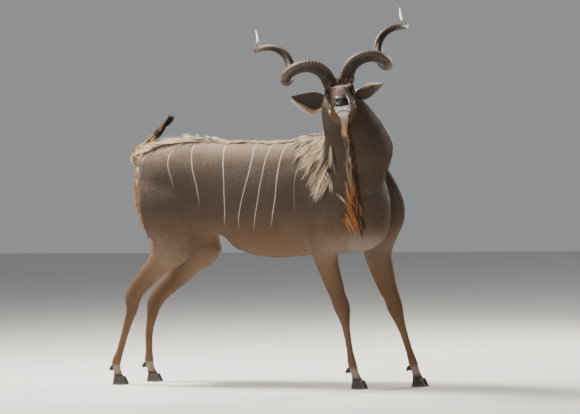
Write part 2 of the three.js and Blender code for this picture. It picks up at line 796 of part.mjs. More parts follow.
function lock(spec, grow) {
  const { out, width, thick = 9 } = spec;
  const course = lockCourse(spec);
  const rings = LOCK_AT.map((s, i) => {
    const run = course[i + 1].clone().sub(course[Math.max(0, i - 1)]).normalize();
    const across = run.clone().cross(out).normalize();
    const face = across.clone().cross(run);
    const half = (width / 2) * LOCK_WIDE[i] + 3 * grow;
    const deep = (thick / 2) * (1.2 - 0.5 * s) + grow;
    const ridge = course[i].clone().addScaledVector(face, Math.sign(face.dot(out)) * deep);
    const under = course[i].clone().addScaledVector(face, -Math.sign(face.dot(out)) * deep * 0.6);
    return [
      ridge,
      under.clone().addScaledVector(across, half),
      under.clone().addScaledVector(across, -half),
    ];
  });
  const last = course.at(-1).clone();
  return solid(loft(rings, grow, last.addScaledVector(last.clone().sub(course.at(-2)).normalize(), 3 * grow)));
}

const DOWN = vec(0, 0, -1);
const mix = (a, b, t) => a + (b - a) * t;

// The ways to the rear and out to one side, at a place along the spine
function spineWays(x, side) {
  const { left } = spineAt(x, 0);
  return { rear: left.clone().cross(UP).negate(), aside: left.clone().multiplyScalar(side) };
}

// Crest along the back, longest on the croup, streaming back and over to the right
function crestLocks() {
  const next = seeded(11);
  const locks = [];
  for (let i = 0; i < CREST_LOCKS; i++) {
    const t = (i + 0.3 * next()) / (CREST_LOCKS - 1);
    const x = mix(CREST_FROM, CREST_TO, t);
    const side = i % 3 === 1 ? 1 : -1;
    const { point, out } = trunkPlace(x, 3 + 5 * next(), side);
    const { rear, aside } = spineWays(x, side);
    const length = along(CREST_LENGTH, t) * mix(0.85, 1.15, next());
    locks.push({
      root: point,
      out,
      lie: rear.multiplyScalar(-0.9).addScaledVector(aside, mix(0.15, 0.45, next())),
      droop: DOWN.clone().multiplyScalar(0.12).addScaledVector(aside, 0.12),
      rise: mix(20, 34, next()),
      length,
      width: 36,
    });
  }
  return locks;
}

// Mane over the withers and down both sides of the nape, in tiers
function maneLocks(tiers, seed) {
  const next = seeded(seed);
  const locks = [];
  tiers.forEach(({ place, count, length, width, reach }) => {
    for (let i = 0; i < count; i++) {
      const t = (i + mix(0.25, 0.75, next())) / count;
      const { point, out, lie, droop } = place(t);
      locks.push({
        root: point,
        out,
        lie,
        droop,
        rise: mix(13, 22, next()),
        length: along(length, t) * mix(0.85, 1.12, next()) * reach,
        width,
      });
    }
  });
  return locks;
}

function withersTier(side, turn, from, to) {
  return (t) => {
    const x = mix(from, to, t);
    const { rear, aside } = spineWays(x, side);
    return {
      ...trunkPlace(x, turn, side),
      lie: rear.multiplyScalar(-0.45).addScaledVector(DOWN, 0.75).addScaledVector(aside, 0.2),
      droop: DOWN.clone().multiplyScalar(0.1).addScaledVector(aside, -0.06),
    };
  };
}

function napeTier(side, turn, from, to) {
  return (t) => {
    const u = mix(from, to, t);
    const { throat, side: left } = neckAxes(rowAt(NECK, u));
    return {
      ...neckPlace(u, turn, side),
      lie: DOWN.clone().multiplyScalar(0.9).addScaledVector(throat, 0.1).addScaledVector(left, 0.3 * side),
      droop: DOWN.clone().multiplyScalar(0.12),
    };
  };
}

// Throat fringe, two staggered rows from under the chin down to the brisket
function fringeLocks() {
  const next = seeded(23);
  const locks = [];
  for (let i = 0; i < FRINGE_LOCKS; i++) {
    const t = (i + 0.4 * next()) / (FRINGE_LOCKS - 1);
    const side = i % 2 ? 1 : -1;
    const { point, out } = neckPlace(mix(FRINGE_FROM, FRINGE_TO, t), mix(1, 5, next()), side);
    locks.push({
      root: point,
      out,
      lie: DOWN.clone().add(vec(mix(0, 0.3, t), 0, 0)),
      droop: vec(0, 0, -0.16),
      rise: mix(16, 30, next()),
      length: along(FRINGE_LENGTH, t) * mix(0.85, 1.15, next()),
      width: along(FRINGE_WIDTH, t),
    });
  }
  return locks;
}

// Beard under the chin
function beardLocks() {
  const next = seeded(31);
  return Array.from({ length: BEARD_LOCKS }, (_, i) => {
    const t = i / (BEARD_LOCKS - 1);
    const side = i % 2 ? 1 : -1;
    return {
      root: fromHead(vec(mix(206, 150, t), side * mix(4, 12, next()), -124)),
      out: headWay(vec(0.1, 0.15 * side, -1)),
      lie: DOWN,
      droop: vec(0, 0, -0.1),
      rise: 10,
      length: along([95, 125, 85], t) * mix(0.9, 1.1, next()),
      width: 26,
    };
  });
}

// Fringe of the tail on the outside of its curl, and the tuft at its tip
function tailLocks() {
  const next = seeded(41);
  return Array.from({ length: TAIL_LOCKS }, (_, i) => {
    const t = i / (TAIL_LOCKS - 1);
    const side = i % 2 ? 1 : -1;
    const { at, run, out, thick } = tailPlace(mix(1.7, 6.6, t));
    const turn = deg(mix(8, 55, next()) * side);
    const way = out.clone().multiplyScalar(Math.cos(turn)).addScaledVector(vec(0, 1, 0), Math.sin(turn));
    return {
      root: at.addScaledVector(way, thick * 0.9),
      out: way,
      lie: run,
      droop: out.clone().multiplyScalar(-0.05),
      rise: mix(12, 20, next()),
      length: along([46, 52, 58, 66, 78], t) * mix(0.85, 1.15, next()),
      width: 25,
      thick: 8,
    };
  });
}

// Whole body of flesh: everything that one skin covers
function fleshSolids(grow) {
  return [trunkSolid(grow), neckSolid(grow), skullSolid(grow), tailSolid(grow),
    ...Object.values(LEGS).map((leg) => legSolid(leg, grow))];
}

// Long hair that each node of flesh carries
function hair(grow) {
  const { vertProperties, triVerts } = join(fleshSolids(0)).getMesh();
  bodyShape.geometry = new THREE.BufferGeometry();
  bodyShape.geometry.setAttribute('position', new THREE.Float32BufferAttribute(vertProperties, 3));
  bodyShape.geometry.setIndex(Array.from(triVerts));
  const sides = [-1, 1];
  const withers = sides.flatMap((side) => [
    { place: withersTier(side, 12, 300, 620), count: 6, length: [90, 120, 140], width: 46, reach: 1 },
    { place: withersTier(side, 32, 370, 620), count: 6, length: [110, 150, 170], width: 46, reach: 1 },
    { place: withersTier(side, 54, 440, 620), count: 5, length: [120, 170, 230], width: 46, reach: 1 },
  ]);
  const nape = sides.flatMap((side) => [
    { place: napeTier(side, 172, 2.4, 5), count: 5, length: [140, 150, 110], width: 44, reach: 1 },
    { place: napeTier(side, 148, 2.2, 4.6), count: 5, length: [150, 170, 120], width: 44, reach: 1 },
  ]);
  const build = (locks) => locks.map((one) => lock(one, grow));
  return {
    torso: build([...crestLocks(), ...maneLocks(withers, 53)]),
    neck: build([...fringeLocks(), ...maneLocks(nape, 67)]),
    head: build(beardLocks()),
    tail: build(tailLocks()),
  };
}

// Regions that part the body, each a little larger or smaller by the gap
const NECK_CUT = { at: vec(640, -92, 1195), way: vec(0.76, -0.2, 0.62) };
const HEAD_CUTS = [
  { at: vec(-70, 0, -185), way: vec(0.92, 0, 0.39) },
  { at: vec(-70, 0, -190), way: vec(-0.12, 0, 0.99) },
];
const TAIL_CUT = { at: vec(-752, 0, 1222), way: vec(-0.72, 0, 0.69) };
const HIND_CUT = 786;
const FRONT_CUT = 716;

const shiftedSpace = (cut, gap) => halfSpace(
  cut.at.clone().addScaledVector(cut.way.clone().normalize(), -gap), cut.way,
);

function regions(gap) {
  const headSpaces = HEAD_CUTS.map(({ at, way }) => shiftedSpace({ at: fromHead(at), way: headWay(way) }, gap));
  const tailBox = block([-1200, -200, 1150], [-400, 200, 1700]);
  const legBox = (x0, x1, y0, y1, top) => block([x0, y0, -100], [x1, y1, top + gap]);
  return {
    head: headSpaces[0].intersect(headSpaces[1]),
    neck: shiftedSpace(NECK_CUT, gap),
    tail: shiftedSpace(TAIL_CUT, gap).intersect(tailBox),
    leg_hind_right: legBox(-1100, -328, -400, -2, HIND_CUT),
    leg_hind_left: legBox(-1100, -328, 2, 400, HIND_CUT),
    leg_front_right: legBox(300, 1100, -500, -92, FRONT_CUT),
    leg_front_left: legBox(300, 1100, -92, 300, FRONT_CUT),
  };
}

// Fuses the hair to its nodes, with each form trimmed clear of the nodes next to its own
function addHair(nodes, tight, wide) {
  const grown = join(fleshSolids(CLEAR));
  const room = {
    head: grown.intersect(wide.head),
    neck: grown.intersect(wide.neck).subtract(tight.head),
    tail: grown.intersect(wide.tail),
    torso: grown.subtract(tight.neck).subtract(tight.tail),
  };
  const forms = hair(0);
  const grownForms = hair(LOCK_CLEAR);
  const yieldsTo = {
    torso: [room.neck, room.tail],
    tail: [room.torso, ...grownForms.torso],
    neck: [room.torso, room.head, ...grownForms.torso],
    head: [room.neck, ...grownForms.neck],
  };
  Object.entries(yieldsTo).forEach(([name, others]) => {
    nodes[name] = largest(nodes[name]).add(join(forms[name]).subtract(join(others)));
  });
}

// Parts the body of flesh into its nodes
function flesh() {
  const { added, cut } = headParts();
  const legs = Object.values(LEGS);
  const body = join([trunkSolid(0), neckSolid(0), tailSolid(0), ...added, ...legs.map((leg) => legSolid(leg, 0))])
    .subtract(join(cut))
    .subtract(block([-2000, -1000, -200], [2000, 1000, HOOF_HEIGHT + GAP]));
  const tight = regions(-GAP / 2);
  const wide = regions(GAP / 2);
  const nodes = {};
  nodes.head = body.intersect(tight.head);
  nodes.tail = body.intersect(tight.tail);
  nodes.neck = body.intersect(tight.neck).subtract(wide.head).subtract(wide.tail);
  let trunk = body;
  Object.keys(wide).forEach((name) => {
    trunk = trunk.subtract(wide[name]);
    if (name.startsWith('leg_')) nodes[name] = body.intersect(tight[name]);
  });
  nodes.torso = trunk;
  addHair(nodes, tight, wide);
  return Object.fromEntries(Object.entries(nodes).map(([name, part]) => [name, largest(part)]));
}

// Materials and meshes
function material(color, roughness, metalness = 0) {
  return new THREE.MeshStandardMaterial({ color, roughness, metalness, flatShading: true });
}
const coat = material(COAT, 0.85);
const coatWarm = material(COAT_WARM, 0.85);
const hornSkin = material(HORN_BROWN, 0.5);
const hoofSkin = material(HOOF_DARK, 0.45);
const eyeSkin = material(EYE_DARK, 0.1);
const tailSkin = material(TAIL_BROWN, 0.85);

function mesh(name, part, skin) {
  const { numProp, vertProperties, triVerts } = part.getMesh();
  const points = [];
  for (let i = 0; i < vertProperties.length; i += numProp) {
    points.push(vertProperties[i], vertProperties[i + 1], vertProperties[i + 2]);
  }
  const geometry = new THREE.BufferGeometry();
  geometry.setAttribute('position', new THREE.Float32BufferAttribute(points, 3));
  geometry.setIndex(Array.from(triVerts));
  const node = new THREE.Mesh(geometry, skin);
  node.name = name;
  return node;
}

const group = new THREE.Group();
group.name = 'greater_kudu';

const parts = flesh();
Object.entries(parts).forEach(([name, part]) => {
  const skin = name === 'tail' ? tailSkin : name.startsWith('leg_') ? coatWarm : coat;
  group.add(mesh(name, part, skin));
});

const SIDES = { left: 1, right: -1 };
const skullRoom = grownSkull();
Object.entries(SIDES).forEach(([word, side]) => {
  group.add(mesh(`horn_${word}`, hornSolid(side), hornSkin));
  group.add(mesh(`eye_${word}`, eyeSolid(side), eyeSkin));
});
Object.entries(EARS).forEach(([name, ear]) => {
  group.add(mesh(name, largest(earSolid(ear).subtract(skullRoom)), coat));
});

Object.entries(LEGS).forEach(([name, leg]) => {
  const grown = legSolid(leg, CLEAR);
  Object.entries(SIDES).forEach(([word, side]) => {
    group.add(mesh(`toe_${name}_${word}`, toeSolid(leg.rows.at(-1), leg, side), hoofSkin));
    const claw = largest(dewclawSolid(leg, side).subtract(grown));
    group.add(mesh(`dewclaw_${name}_${word}`, claw, hoofSkin));
  });
});

// Origin under the middle of the whole model, on the floor
const bounds = new THREE.Box3().setFromObject(group);
const middle = bounds.getCenter(vec(0, 0, 0));
group.position.set(-middle.x, -middle.y, -bounds.min.z);

export default group;
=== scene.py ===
import math
from collections import namedtuple

import bmesh
import bpy
import numpy as np
from mathutils import Matrix, Vector
from mathutils.bvhtree import BVHTree
from mathutils.kdtree import KDTree


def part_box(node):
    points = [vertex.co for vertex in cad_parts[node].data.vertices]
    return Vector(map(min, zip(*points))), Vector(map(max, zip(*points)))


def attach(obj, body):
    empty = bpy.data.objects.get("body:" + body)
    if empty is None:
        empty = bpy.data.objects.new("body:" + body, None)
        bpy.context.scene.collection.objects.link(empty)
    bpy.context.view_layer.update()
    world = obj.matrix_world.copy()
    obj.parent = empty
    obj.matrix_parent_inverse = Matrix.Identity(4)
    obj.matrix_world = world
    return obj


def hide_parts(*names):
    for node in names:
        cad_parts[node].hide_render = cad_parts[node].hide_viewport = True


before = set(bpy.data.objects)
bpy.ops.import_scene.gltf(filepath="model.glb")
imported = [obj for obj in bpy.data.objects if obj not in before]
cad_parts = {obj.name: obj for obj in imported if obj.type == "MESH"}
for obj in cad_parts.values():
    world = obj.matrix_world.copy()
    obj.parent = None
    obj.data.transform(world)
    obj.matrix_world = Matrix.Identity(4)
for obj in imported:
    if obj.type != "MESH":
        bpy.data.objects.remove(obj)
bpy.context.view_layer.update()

bl_info = {
    "name": "Greater kudu bull",
    "version": (1, 0, 0),
    "blender": (4, 5, 0),
    "location": "View3D > Sidebar > Kudu",
    "description": "Skin, coat, long hair, horns, eyes and hooves of a standing kudu bull",
    "category": "Object",
}

# Body plan, in millimetres: the rump is at -X, the chest at +X, the animal's left at +Y.
# The trunk bends to the right in front of the loin.
BEND_FROM, BEND_TO, BEND = -200.0, 600.0, math.radians(12)

# Trunk rings: place along the spine, back, belly, half width, height of the widest place, squareness
TRUNK = [
    [-784, 1190, 1110, 20, 1150, 2.0],
    [-779, 1232, 1060, 60, 1148, 2.0],
    [-758, 1268, 985, 108, 1135, 2.1],
    [-705, 1308, 900, 152, 1112, 2.2],
    [-600, 1346, 850, 190, 1100, 2.3],
    [-480, 1369, 815, 207, 1100, 2.3],
    [-340, 1374, 796, 210, 1088, 2.2],
    [-200, 1362, 768, 220, 1070, 2.2],
    [-50, 1354, 722, 234, 1050, 2.2],
    [100, 1350, 705, 242, 1040, 2.2],
    [240, 1358, 712, 239, 1040, 2.2],
    [370, 1384, 722, 224, 1040, 2.1],
    [480, 1400, 730, 208, 1040, 2.1],
    [580, 1376, 730, 195, 1020, 2.1],
    [670, 1316, 738, 180, 1000, 2.1],
    [740, 1228, 760, 150, 985, 2.1],
    [790, 1130, 800, 110, 970, 2.0],
    [812, 1060, 850, 66, 955, 2.0],
    [820, 1010, 900, 30, 955, 2.0],
]

# Neck rings: centre, heading and pitch of the throat side, reach to the throat and nape, half width
NECK = [
    [500, -60, 1080, -30, -45, 240, 240, 170],
    [606, -89, 1170, -64, -36, 225, 236, 186],
    [674, -127, 1280, -80, -22, 200, 212, 181],
    [665, -165, 1390, -77, -12, 166, 192, 172],
    [643, -192, 1480, -75, -6, 126, 164, 152],
    [622, -215, 1560, -70, 0, 92, 124, 122],
    [612, -226, 1612, -70, 0, 40, 66, 62],
]

# Leg rings, body to hoof: centre, reach to the front, back, outside and inside
LEGS = {
    "hind_right": (0, [
        [-520, -105, 1230, 120, 120, 30, 60],
        [-520, -110, 1150, 185, 185, 78, 60],
        [-520, -116, 1040, 215, 205, 104, 80],
        [-505, -125, 900, 205, 172, 96, 80],
        [-500, -128, 790, 135, 135, 80, 70],
        [-575, -125, 700, 82, 88, 62, 55],
        [-660, -120, 615, 60, 66, 48, 42],
        [-735, -115, 535, 46, 60, 38, 34],
        [-768, -112, 480, 42, 58, 36, 34],
        [-784, -112, 420, 38, 36, 29, 28],
        [-817, -111, 330, 27, 29, 23, 23],
        [-862, -110, 200, 24, 26, 21, 21],
        [-890, -110, 125, 28, 34, 27, 27],
        [-889, -110, 80, 25, 27, 25, 25],
        [-880, -110, 30, 38, 32, 32, 32],
    ]),
    "hind_left": (0, [
        [-500, 105, 1230, 120, 120, 30, 60],
        [-497, 110, 1150, 185, 185, 78, 60],
        [-490, 116, 1040, 215, 205, 104, 80],
        [-460, 125, 890, 200, 185, 96, 80],
        [-455, 128, 770, 125, 130, 80, 70],
        [-535, 125, 670, 80, 85, 62, 55],
        [-630, 120, 575, 58, 64, 48, 42],
        [-715, 115, 495, 46, 58, 38, 34],
        [-755, 112, 440, 42, 54, 36, 34],
        [-775, 112, 385, 37, 36, 29, 28],
        [-795, 111, 290, 28, 29, 23, 23],
        [-800, 110, 190, 25, 26, 21, 21],
        [-800, 110, 125, 28, 34, 27, 27],
        [-792, 110, 80, 25, 27, 25, 25],
        [-780, 110, 30, 38, 32, 32, 32],
    ]),
    "front_right": (-10, [
        [462, -150, 1290, 70, 80, 20, 60],
        [480, -184, 1210, 118, 128, 44, 60],
        [505, -202, 1110, 140, 145, 58, 80],
        [540, -212, 970, 160, 155, 62, 90],
        [512, -210, 850, 130, 138, 60, 80],
        [482, -202, 755, 84, 94, 56, 65],
        [497, -194, 665, 67, 73, 46, 48],
        [520, -189, 582, 60, 60, 40, 42],
        [545, -188, 510, 50, 52, 37, 38],
        [567, -188, 445, 52, 50, 40, 40],
        [580, -189, 390, 38, 36, 33, 33],
        [591, -190, 330, 26, 27, 24, 24],
        [609, -191, 217, 22, 23, 21, 21],
        [625, -192, 130, 27, 31, 27, 27],
        [638, -192, 85, 25, 27, 25, 25],
        [652, -192, 30, 39, 33, 33, 33],
    ]),
    "front_left": (-10, [
        [560, 50, 1290, 70, 80, 20, 60],
        [595, 70, 1210, 125, 130, 50, 60],
        [632, 80, 1110, 150, 155, 72, 62],
        [678, 88, 970, 168, 165, 80, 62],
        [676, 80, 850, 140, 142, 76, 60],
        [680, 62, 745, 94, 102, 62, 55],
        [695, 48, 675, 80, 84, 50, 48],
        [733, 39, 558, 62, 62, 42, 42],
        [765, 32, 490, 52, 52, 38, 38],
        [785, 27, 430, 50, 48, 40, 40],
        [807, 23, 375, 37, 36, 33, 33],
        [830, 18, 318, 28, 29, 25, 25],
        [872, 10, 204, 23, 25, 22, 22],
        [898, 5, 130, 27, 31, 27, 27],
        [912, 3, 85, 25, 27, 25, 25],
        [926, 2, 30, 39, 33, 33, 33],
    ]),
}

# Tail rings, rump to tip: centre x, z, half thickness, half width
TAIL = [
    [-700, 1190, 40, 40],
    [-768, 1226, 34, 34],
    [-797, 1268, 27, 27],
    [-772, 1312, 23, 24],
    [-714, 1352, 21, 22],
    [-655, 1398, 20, 21],
    [-606, 1442, 17, 19],
    [-574, 1470, 8, 9],
]

# Head in its own frame, in millimetres: origin between the eyes, +X to the nose, +Z to the crown. Its rings
# have the place along X, top, bottom, half width, height of the widest place, and squareness.
HEAD_AT = np.array([662.0, -334.0, 1612.0])
HEAD_TURN = (-64.0, 1.5, 7.3)
HEAD = [
    [-168, 28, -78, 58, -20, 2.0],
    [-146, 54, -118, 76, -24, 2.1],
    [-104, 68, -158, 82, -30, 2.2],
    [-62, 70, -172, 80, -26, 2.2],
    [-24, 62, -168, 77, -18, 2.2],
    [16, 50, -152, 70, -22, 2.2],
    [60, 37, -137, 56, -35, 2.3],
    [102, 25, -130, 48, -48, 2.3],
    [140, 17, -128, 44, -56, 2.4],
    [174, 8, -131, 44, -61, 2.5],
    [202, 0, -134, 47, -66, 2.5],
    [222, -10, -130, 46, -68, 2.4],
    [236, -28, -116, 37, -70, 2.2],
    [242, -46, -98, 20, -72, 2.0],
]

# Forms that stand out from the smooth skull, on each side of it: centre and reach
BUMPS = [
    [[-6, 61, 27], [38, 27, 20]],
    [[214, 25, -42], [24, 21, 24]],
    [[192, 24, -84], [38, 24, 20]],
    [[-70, 60, -96], [62, 22, 54]],
    [[-2, 66, 0], [26, 24, 24]],
    [[60, 44, -52], [60, 10, 16]],
]
CHIN = [[190, 0, -118], [30, 34, 24]]

# Eye of the left side in the head's frame: centre, radius and where it looks
EYE_AT = (-2.0, 66.0, 0.0)
EYE_RADIUS = 20.5
EYE_LOOK = (0.46, 0.87, 0.1)

# Horn: a helix about an axis that leans back and out, with its coil's radius and its own half thickness
# from root to tip
HORN_ROOT = (-72.0, 50.0, 70.0)
HORN_SPLAY, HORN_LEAN, HORN_PHASE, HORN_TURNS = 22.4, 61.3, 265.0, 2.0
HORN_PITCH, HORN_PITCH_GAIN = 338.0, 75.0
HORN_COIL = [105, 76, 44, 45, 38, 58]
HORN_THICK = [38, 32, 26.5, 21, 14.5, 3.5]
HORN_KEEL, HORN_KEEL_AT = 0.2, 35.0

# Ears in the head's frame: root, direction, the way the cup faces, and how far it hangs to one side
EARS = {
    "ear_right": ((-118, -72, -30), (-0.36, -0.9, 0.26), (1, -0.2, 0), -0.4),
    "ear_left": ((-118, 72, -14), (-0.6, 0.78, 0.16), (-0.6, 0, 0.8), 0.1),
}

# From an ear's root to its tip: half width, depth of the cup, and how hollow it is
EAR_LENGTH = 220.0
EAR_HALF = [24, 44, 62, 64, 52, 38, 22, 5]
EAR_DEPTH = [22, 34, 42, 40, 32, 23, 13, 4]
EAR_HOLLOW = [0, 0.55, 0.85, 0.95, 0.95, 0.95, 0.9, 0.6]

# Hooves: each toe's distance from the middle of the foot and half width, its rows of height, reach to the
# front and back and share of the width, and how far under the fetlock the dewclaws hang
TOE_SPACING, TOE_HALF = 17.2, 15.5
TOE_ROWS = [[0, 47, 38, 1.0], [8, 45, 38, 1.0], [28, 35, 34, 0.95], [46, 24, 30, 0.84]]
DEWCLAW_DROP = 30.0

# White stripes of the flank, in metres. Each has the place of its line at 1.1 m height, three terms of
# its bend with height, its low and high ends, its strength, and how far the far side's stands off.
STRIPES = [
    (-0.448, 0.047, -5.46, 20.9, 1.10, 1.375, 0.75, 0.03),
    (-0.297, -0.217, -1.42, 4.85, 1.00, 1.40, 0.9, -0.03),
    (-0.119, -0.073, -0.69, 0.18, 0.885, 1.40, 1.0, 0.02),
    (0.015, 0.300, -0.50, -3.50, 0.865, 1.40, 0.9, -0.02),
    (0.114, 0.166, -0.51, -0.30, 0.855, 1.40, 0.9, 0.03),
    (0.218, 0.081, -0.51, 1.09, 0.875, 1.40, 0.95, -0.01),
    (0.328, 0.052, 0.80, 0.0, 0.97, 1.30, 0.35, 0.02),
    (-0.705, 0.120, 0.0, 0.0, 1.17, 1.27, 0.4, 0.0),
]

# White spots of the cheek, in the head's frame: place forward and up, and radius
CHEEK_SPOTS = [(10.0, -58.0, 11.0), (-34.0, -86.0, 13.0), (-82.0, -118.0, 13.0), (-76.0, -160.0, 15.0)]

# Where the upper lip meets the lower at the front, in the head's frame, and its fall to the corners
MOUTH_FRONT, MOUTH_DROP, MOUTH_ARC = -99.0, 0.06, 0.0078

UP = np.array([0.0, 0.0, 1.0])
DOWN = -UP
ACROSS = np.array([0.0, 1.0, 0.0])
SIDES = {"left": 1, "right": -1}
FLESH = ["head", "neck", "torso", "tail", *("leg_" + name for name in LEGS)]


def unit(v):
    """A vector, or rows of them, at length 1"""
    v = np.asarray(v, float)
    return v / np.maximum(np.linalg.norm(v, axis=-1, keepdims=True), 1e-9)


def rows_at(rows, place):
    """Rows of a table at places along it, on a smooth curve through the rows"""
    rows = np.asarray(rows, float)
    place = np.atleast_1d(np.asarray(place, float))
    last = len(rows) - 1
    i = np.clip(np.floor(place).astype(int), 0, last - 1)
    t = (place - i)[:, None]
    a, b = rows[np.maximum(i - 1, 0)], rows[i]
    c, d = rows[i + 1], rows[np.minimum(i + 2, last)]
    start, end = (c - a) / 2, (d - b) / 2
    return ((2 * t**3 - 3 * t**2 + 1) * b + (t**3 - 2 * t**2 + t) * start
            + (3 * t**2 - 2 * t**3) * c + (t**3 - t**2) * end)


def fine_rows(table, fine):
    """Rows of a table with more of them in between, on the same smooth curve"""
    last = len(table) - 1
    return rows_at(table, np.linspace(0, last, last * fine + 1))


def along(numbers, t):
    """A list of numbers read at places from 0 to 1"""
    return rows_at(np.asarray(numbers, float)[:, None], np.asarray(t) * (len(numbers) - 1))[:, 0]


def smooth_step(x, low, high):
    t = np.clip((x - low) / (high - low), 0, 1)
    return t * t * (3 - 2 * t)


def head_axes():
    """The head's ways to the nose, to its left and to the crown"""
    h, p, r = (math.radians(angle) for angle in HEAD_TURN)
    nose = np.array([math.cos(h) * math.cos(p), math.sin(h) * math.cos(p), math.sin(p)])
    left = np.array([-math.sin(h), math.cos(h), 0.0])
    crown = np.cross(nose, left)
    rolled = left * math.cos(r) + crown * math.sin(r)
    return np.stack([nose, rolled, np.cross(nose, rolled)])


HEAD_AXES = head_axes()


def from_head(points):
    """Points of the head's frame, in the body plan's"""
    return HEAD_AT + np.asarray(points, float) @ HEAD_AXES


def frame_shift():
    """The body plan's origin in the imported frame, found from where the left eye stands"""
    low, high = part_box("eye_left")
    return np.array((low + high) / 2) - from_head(EYE_AT) / 1000


SHIFT = frame_shift()


def to_frame(points):
    """Millimetres of the body plan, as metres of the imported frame"""
    return np.asarray(points, float) / 1000 + SHIFT


def to_face(points):
    """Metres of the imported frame, as millimetres of the head's frame"""
    return ((np.asarray(points) - SHIFT) * 1000 - HEAD_AT) @ HEAD_AXES.T


def spine_at(x):
    """Places on the bent spine, and the way to the left there"""
    x = np.atleast_1d(np.asarray(x, float))
    radius = (BEND_TO - BEND_FROM) / BEND
    turn = np.clip((x - BEND_FROM) / radius, 0, BEND)
    past = np.maximum(0, x - BEND_TO)
    at_x = np.minimum(x, BEND_FROM) + radius * np.sin(turn) + past * np.cos(turn)
    at_y = -radius * (1 - np.cos(turn)) - past * np.sin(turn)
    left = np.stack([np.sin(turn), np.cos(turn), 0 * turn], -1)
    return np.stack([at_x, at_y, 0 * at_x], -1), left


def sections(centre, axis_a, axis_b, reach, power, sides):
    """Rings of points: reach is to +a, -a, +b and -b, and power is how square each ring is"""
    axis_a, axis_b = (np.broadcast_to(axis, centre.shape) for axis in (axis_a, axis_b))
    turn = np.linspace(0, 2 * math.pi, sides, endpoint=False)
    c, s = np.cos(turn)[None], np.sin(turn)[None]
    exponent = 2 / np.broadcast_to(power, (len(centre),))[:, None]
    a = np.sign(c) * np.abs(c) ** exponent * np.where(c > 0, reach[:, :1], reach[:, 1:2])
    b = np.sign(s) * np.abs(s) ** exponent * np.where(s > 0, reach[:, 2:3], reach[:, 3:])
    return centre[:, None] + a[..., None] * axis_a[:, None] + b[..., None] * axis_b[:, None]


def run_of(centres):
    """The way that a row of centres runs at each of them"""
    return unit(np.gradient(centres, axis=0))


def trunk_rings(grow, fine):
    x, top, low, half, wide, power = fine_rows(TRUNK, fine).T
    at, left = spine_at(x)
    centre = at + wide[:, None] * UP
    reach = np.stack([half, half, top - wide, wide - low], -1) + grow
    return sections(centre, left, UP, reach, power, 72)


def neck_axes(rows):
    """The ways to the throat and to the left at rows of the neck's table"""
    h, p = np.radians(rows[:, 3]), np.radians(rows[:, 4])
    throat = np.stack([np.cos(h) * np.cos(p), np.sin(h) * np.cos(p), np.sin(p)], -1)
    return throat, np.stack([-np.sin(h), np.cos(h), 0 * h], -1)


def neck_rings(grow, fine):
    rows = fine_rows(NECK, fine)
    throat, side = neck_axes(rows)
    reach = np.stack([rows[:, 5], rows[:, 6], rows[:, 7], rows[:, 7]], -1) + grow
    return sections(rows[:, :3], throat, side, reach, 2.15, 64)


def foot_axes(yaw):
    """The ways to the left and to the front of a leg turned by a yaw in degrees"""
    left = np.array([-math.sin(math.radians(yaw)), math.cos(math.radians(yaw)), 0])
    return left, np.cross(left, UP)


def leg_rings(name, grow, fine):
    yaw, table = LEGS[name]
    rows = fine_rows(table, fine)
    left, _ = foot_axes(yaw)
    front = unit(np.cross(run_of(rows[:, :3]), left))
    out, inner = rows[:, 5], rows[:, 6]
    across = (out, inner) if name.endswith("left") else (inner, out)
    reach = np.stack([rows[:, 3], rows[:, 4], *across], -1) + grow
    return sections(rows[:, :3], front, left, reach, 2.1, 40)


def tail_place(place):
    """Centre, run, outward way, and half sizes of the tail"""
    rows = rows_at(TAIL, place)
    run = rows_at(TAIL, np.asarray(place) + 0.02)[:, :2] - rows_at(TAIL, np.asarray(place) - 0.02)[:, :2]
    run = unit(np.stack([run[:, 0], 0 * run[:, 0], run[:, 1]], -1))
    centre = np.stack([rows[:, 0], 0 * rows[:, 0], rows[:, 1]], -1)
    out = np.stack([-run[:, 2], 0 * run[:, 0], run[:, 0]], -1)
    return centre, run, out, rows[:, 2:]


def tail_rings(grow, fine):
    centre, _, out, half = tail_place(np.linspace(0, len(TAIL) - 1, (len(TAIL) - 1) * fine + 1))
    reach = np.repeat(half, 2, axis=1) + grow
    return sections(centre, out, ACROSS, reach, 2, 24)


def head_rings(grow, fine):
    x, top, low, half, wide, power = fine_rows(HEAD, fine).T
    centre = np.stack([x, 0 * x, wide], -1)
    reach = np.stack([half, half, top - wide, wide - low], -1) + grow
    return from_head(sections(centre, ACROSS, UP, reach, power, 64))


def ball_rings(centre, reach, grow):
    """A ball of the head, with its own reach along each of the head's axes"""
    angle = np.linspace(0.06, math.pi - 0.06, 14)
    size = np.asarray(reach, float) + grow
    middle = np.asarray(centre) - np.cos(angle)[:, None] * np.array([size[0], 0, 0])
    ring = np.sin(angle)[:, None] * np.repeat(size[None, 1:], 2, axis=1)
    return from_head(sections(middle, ACROSS, UP, ring, 2, 24))


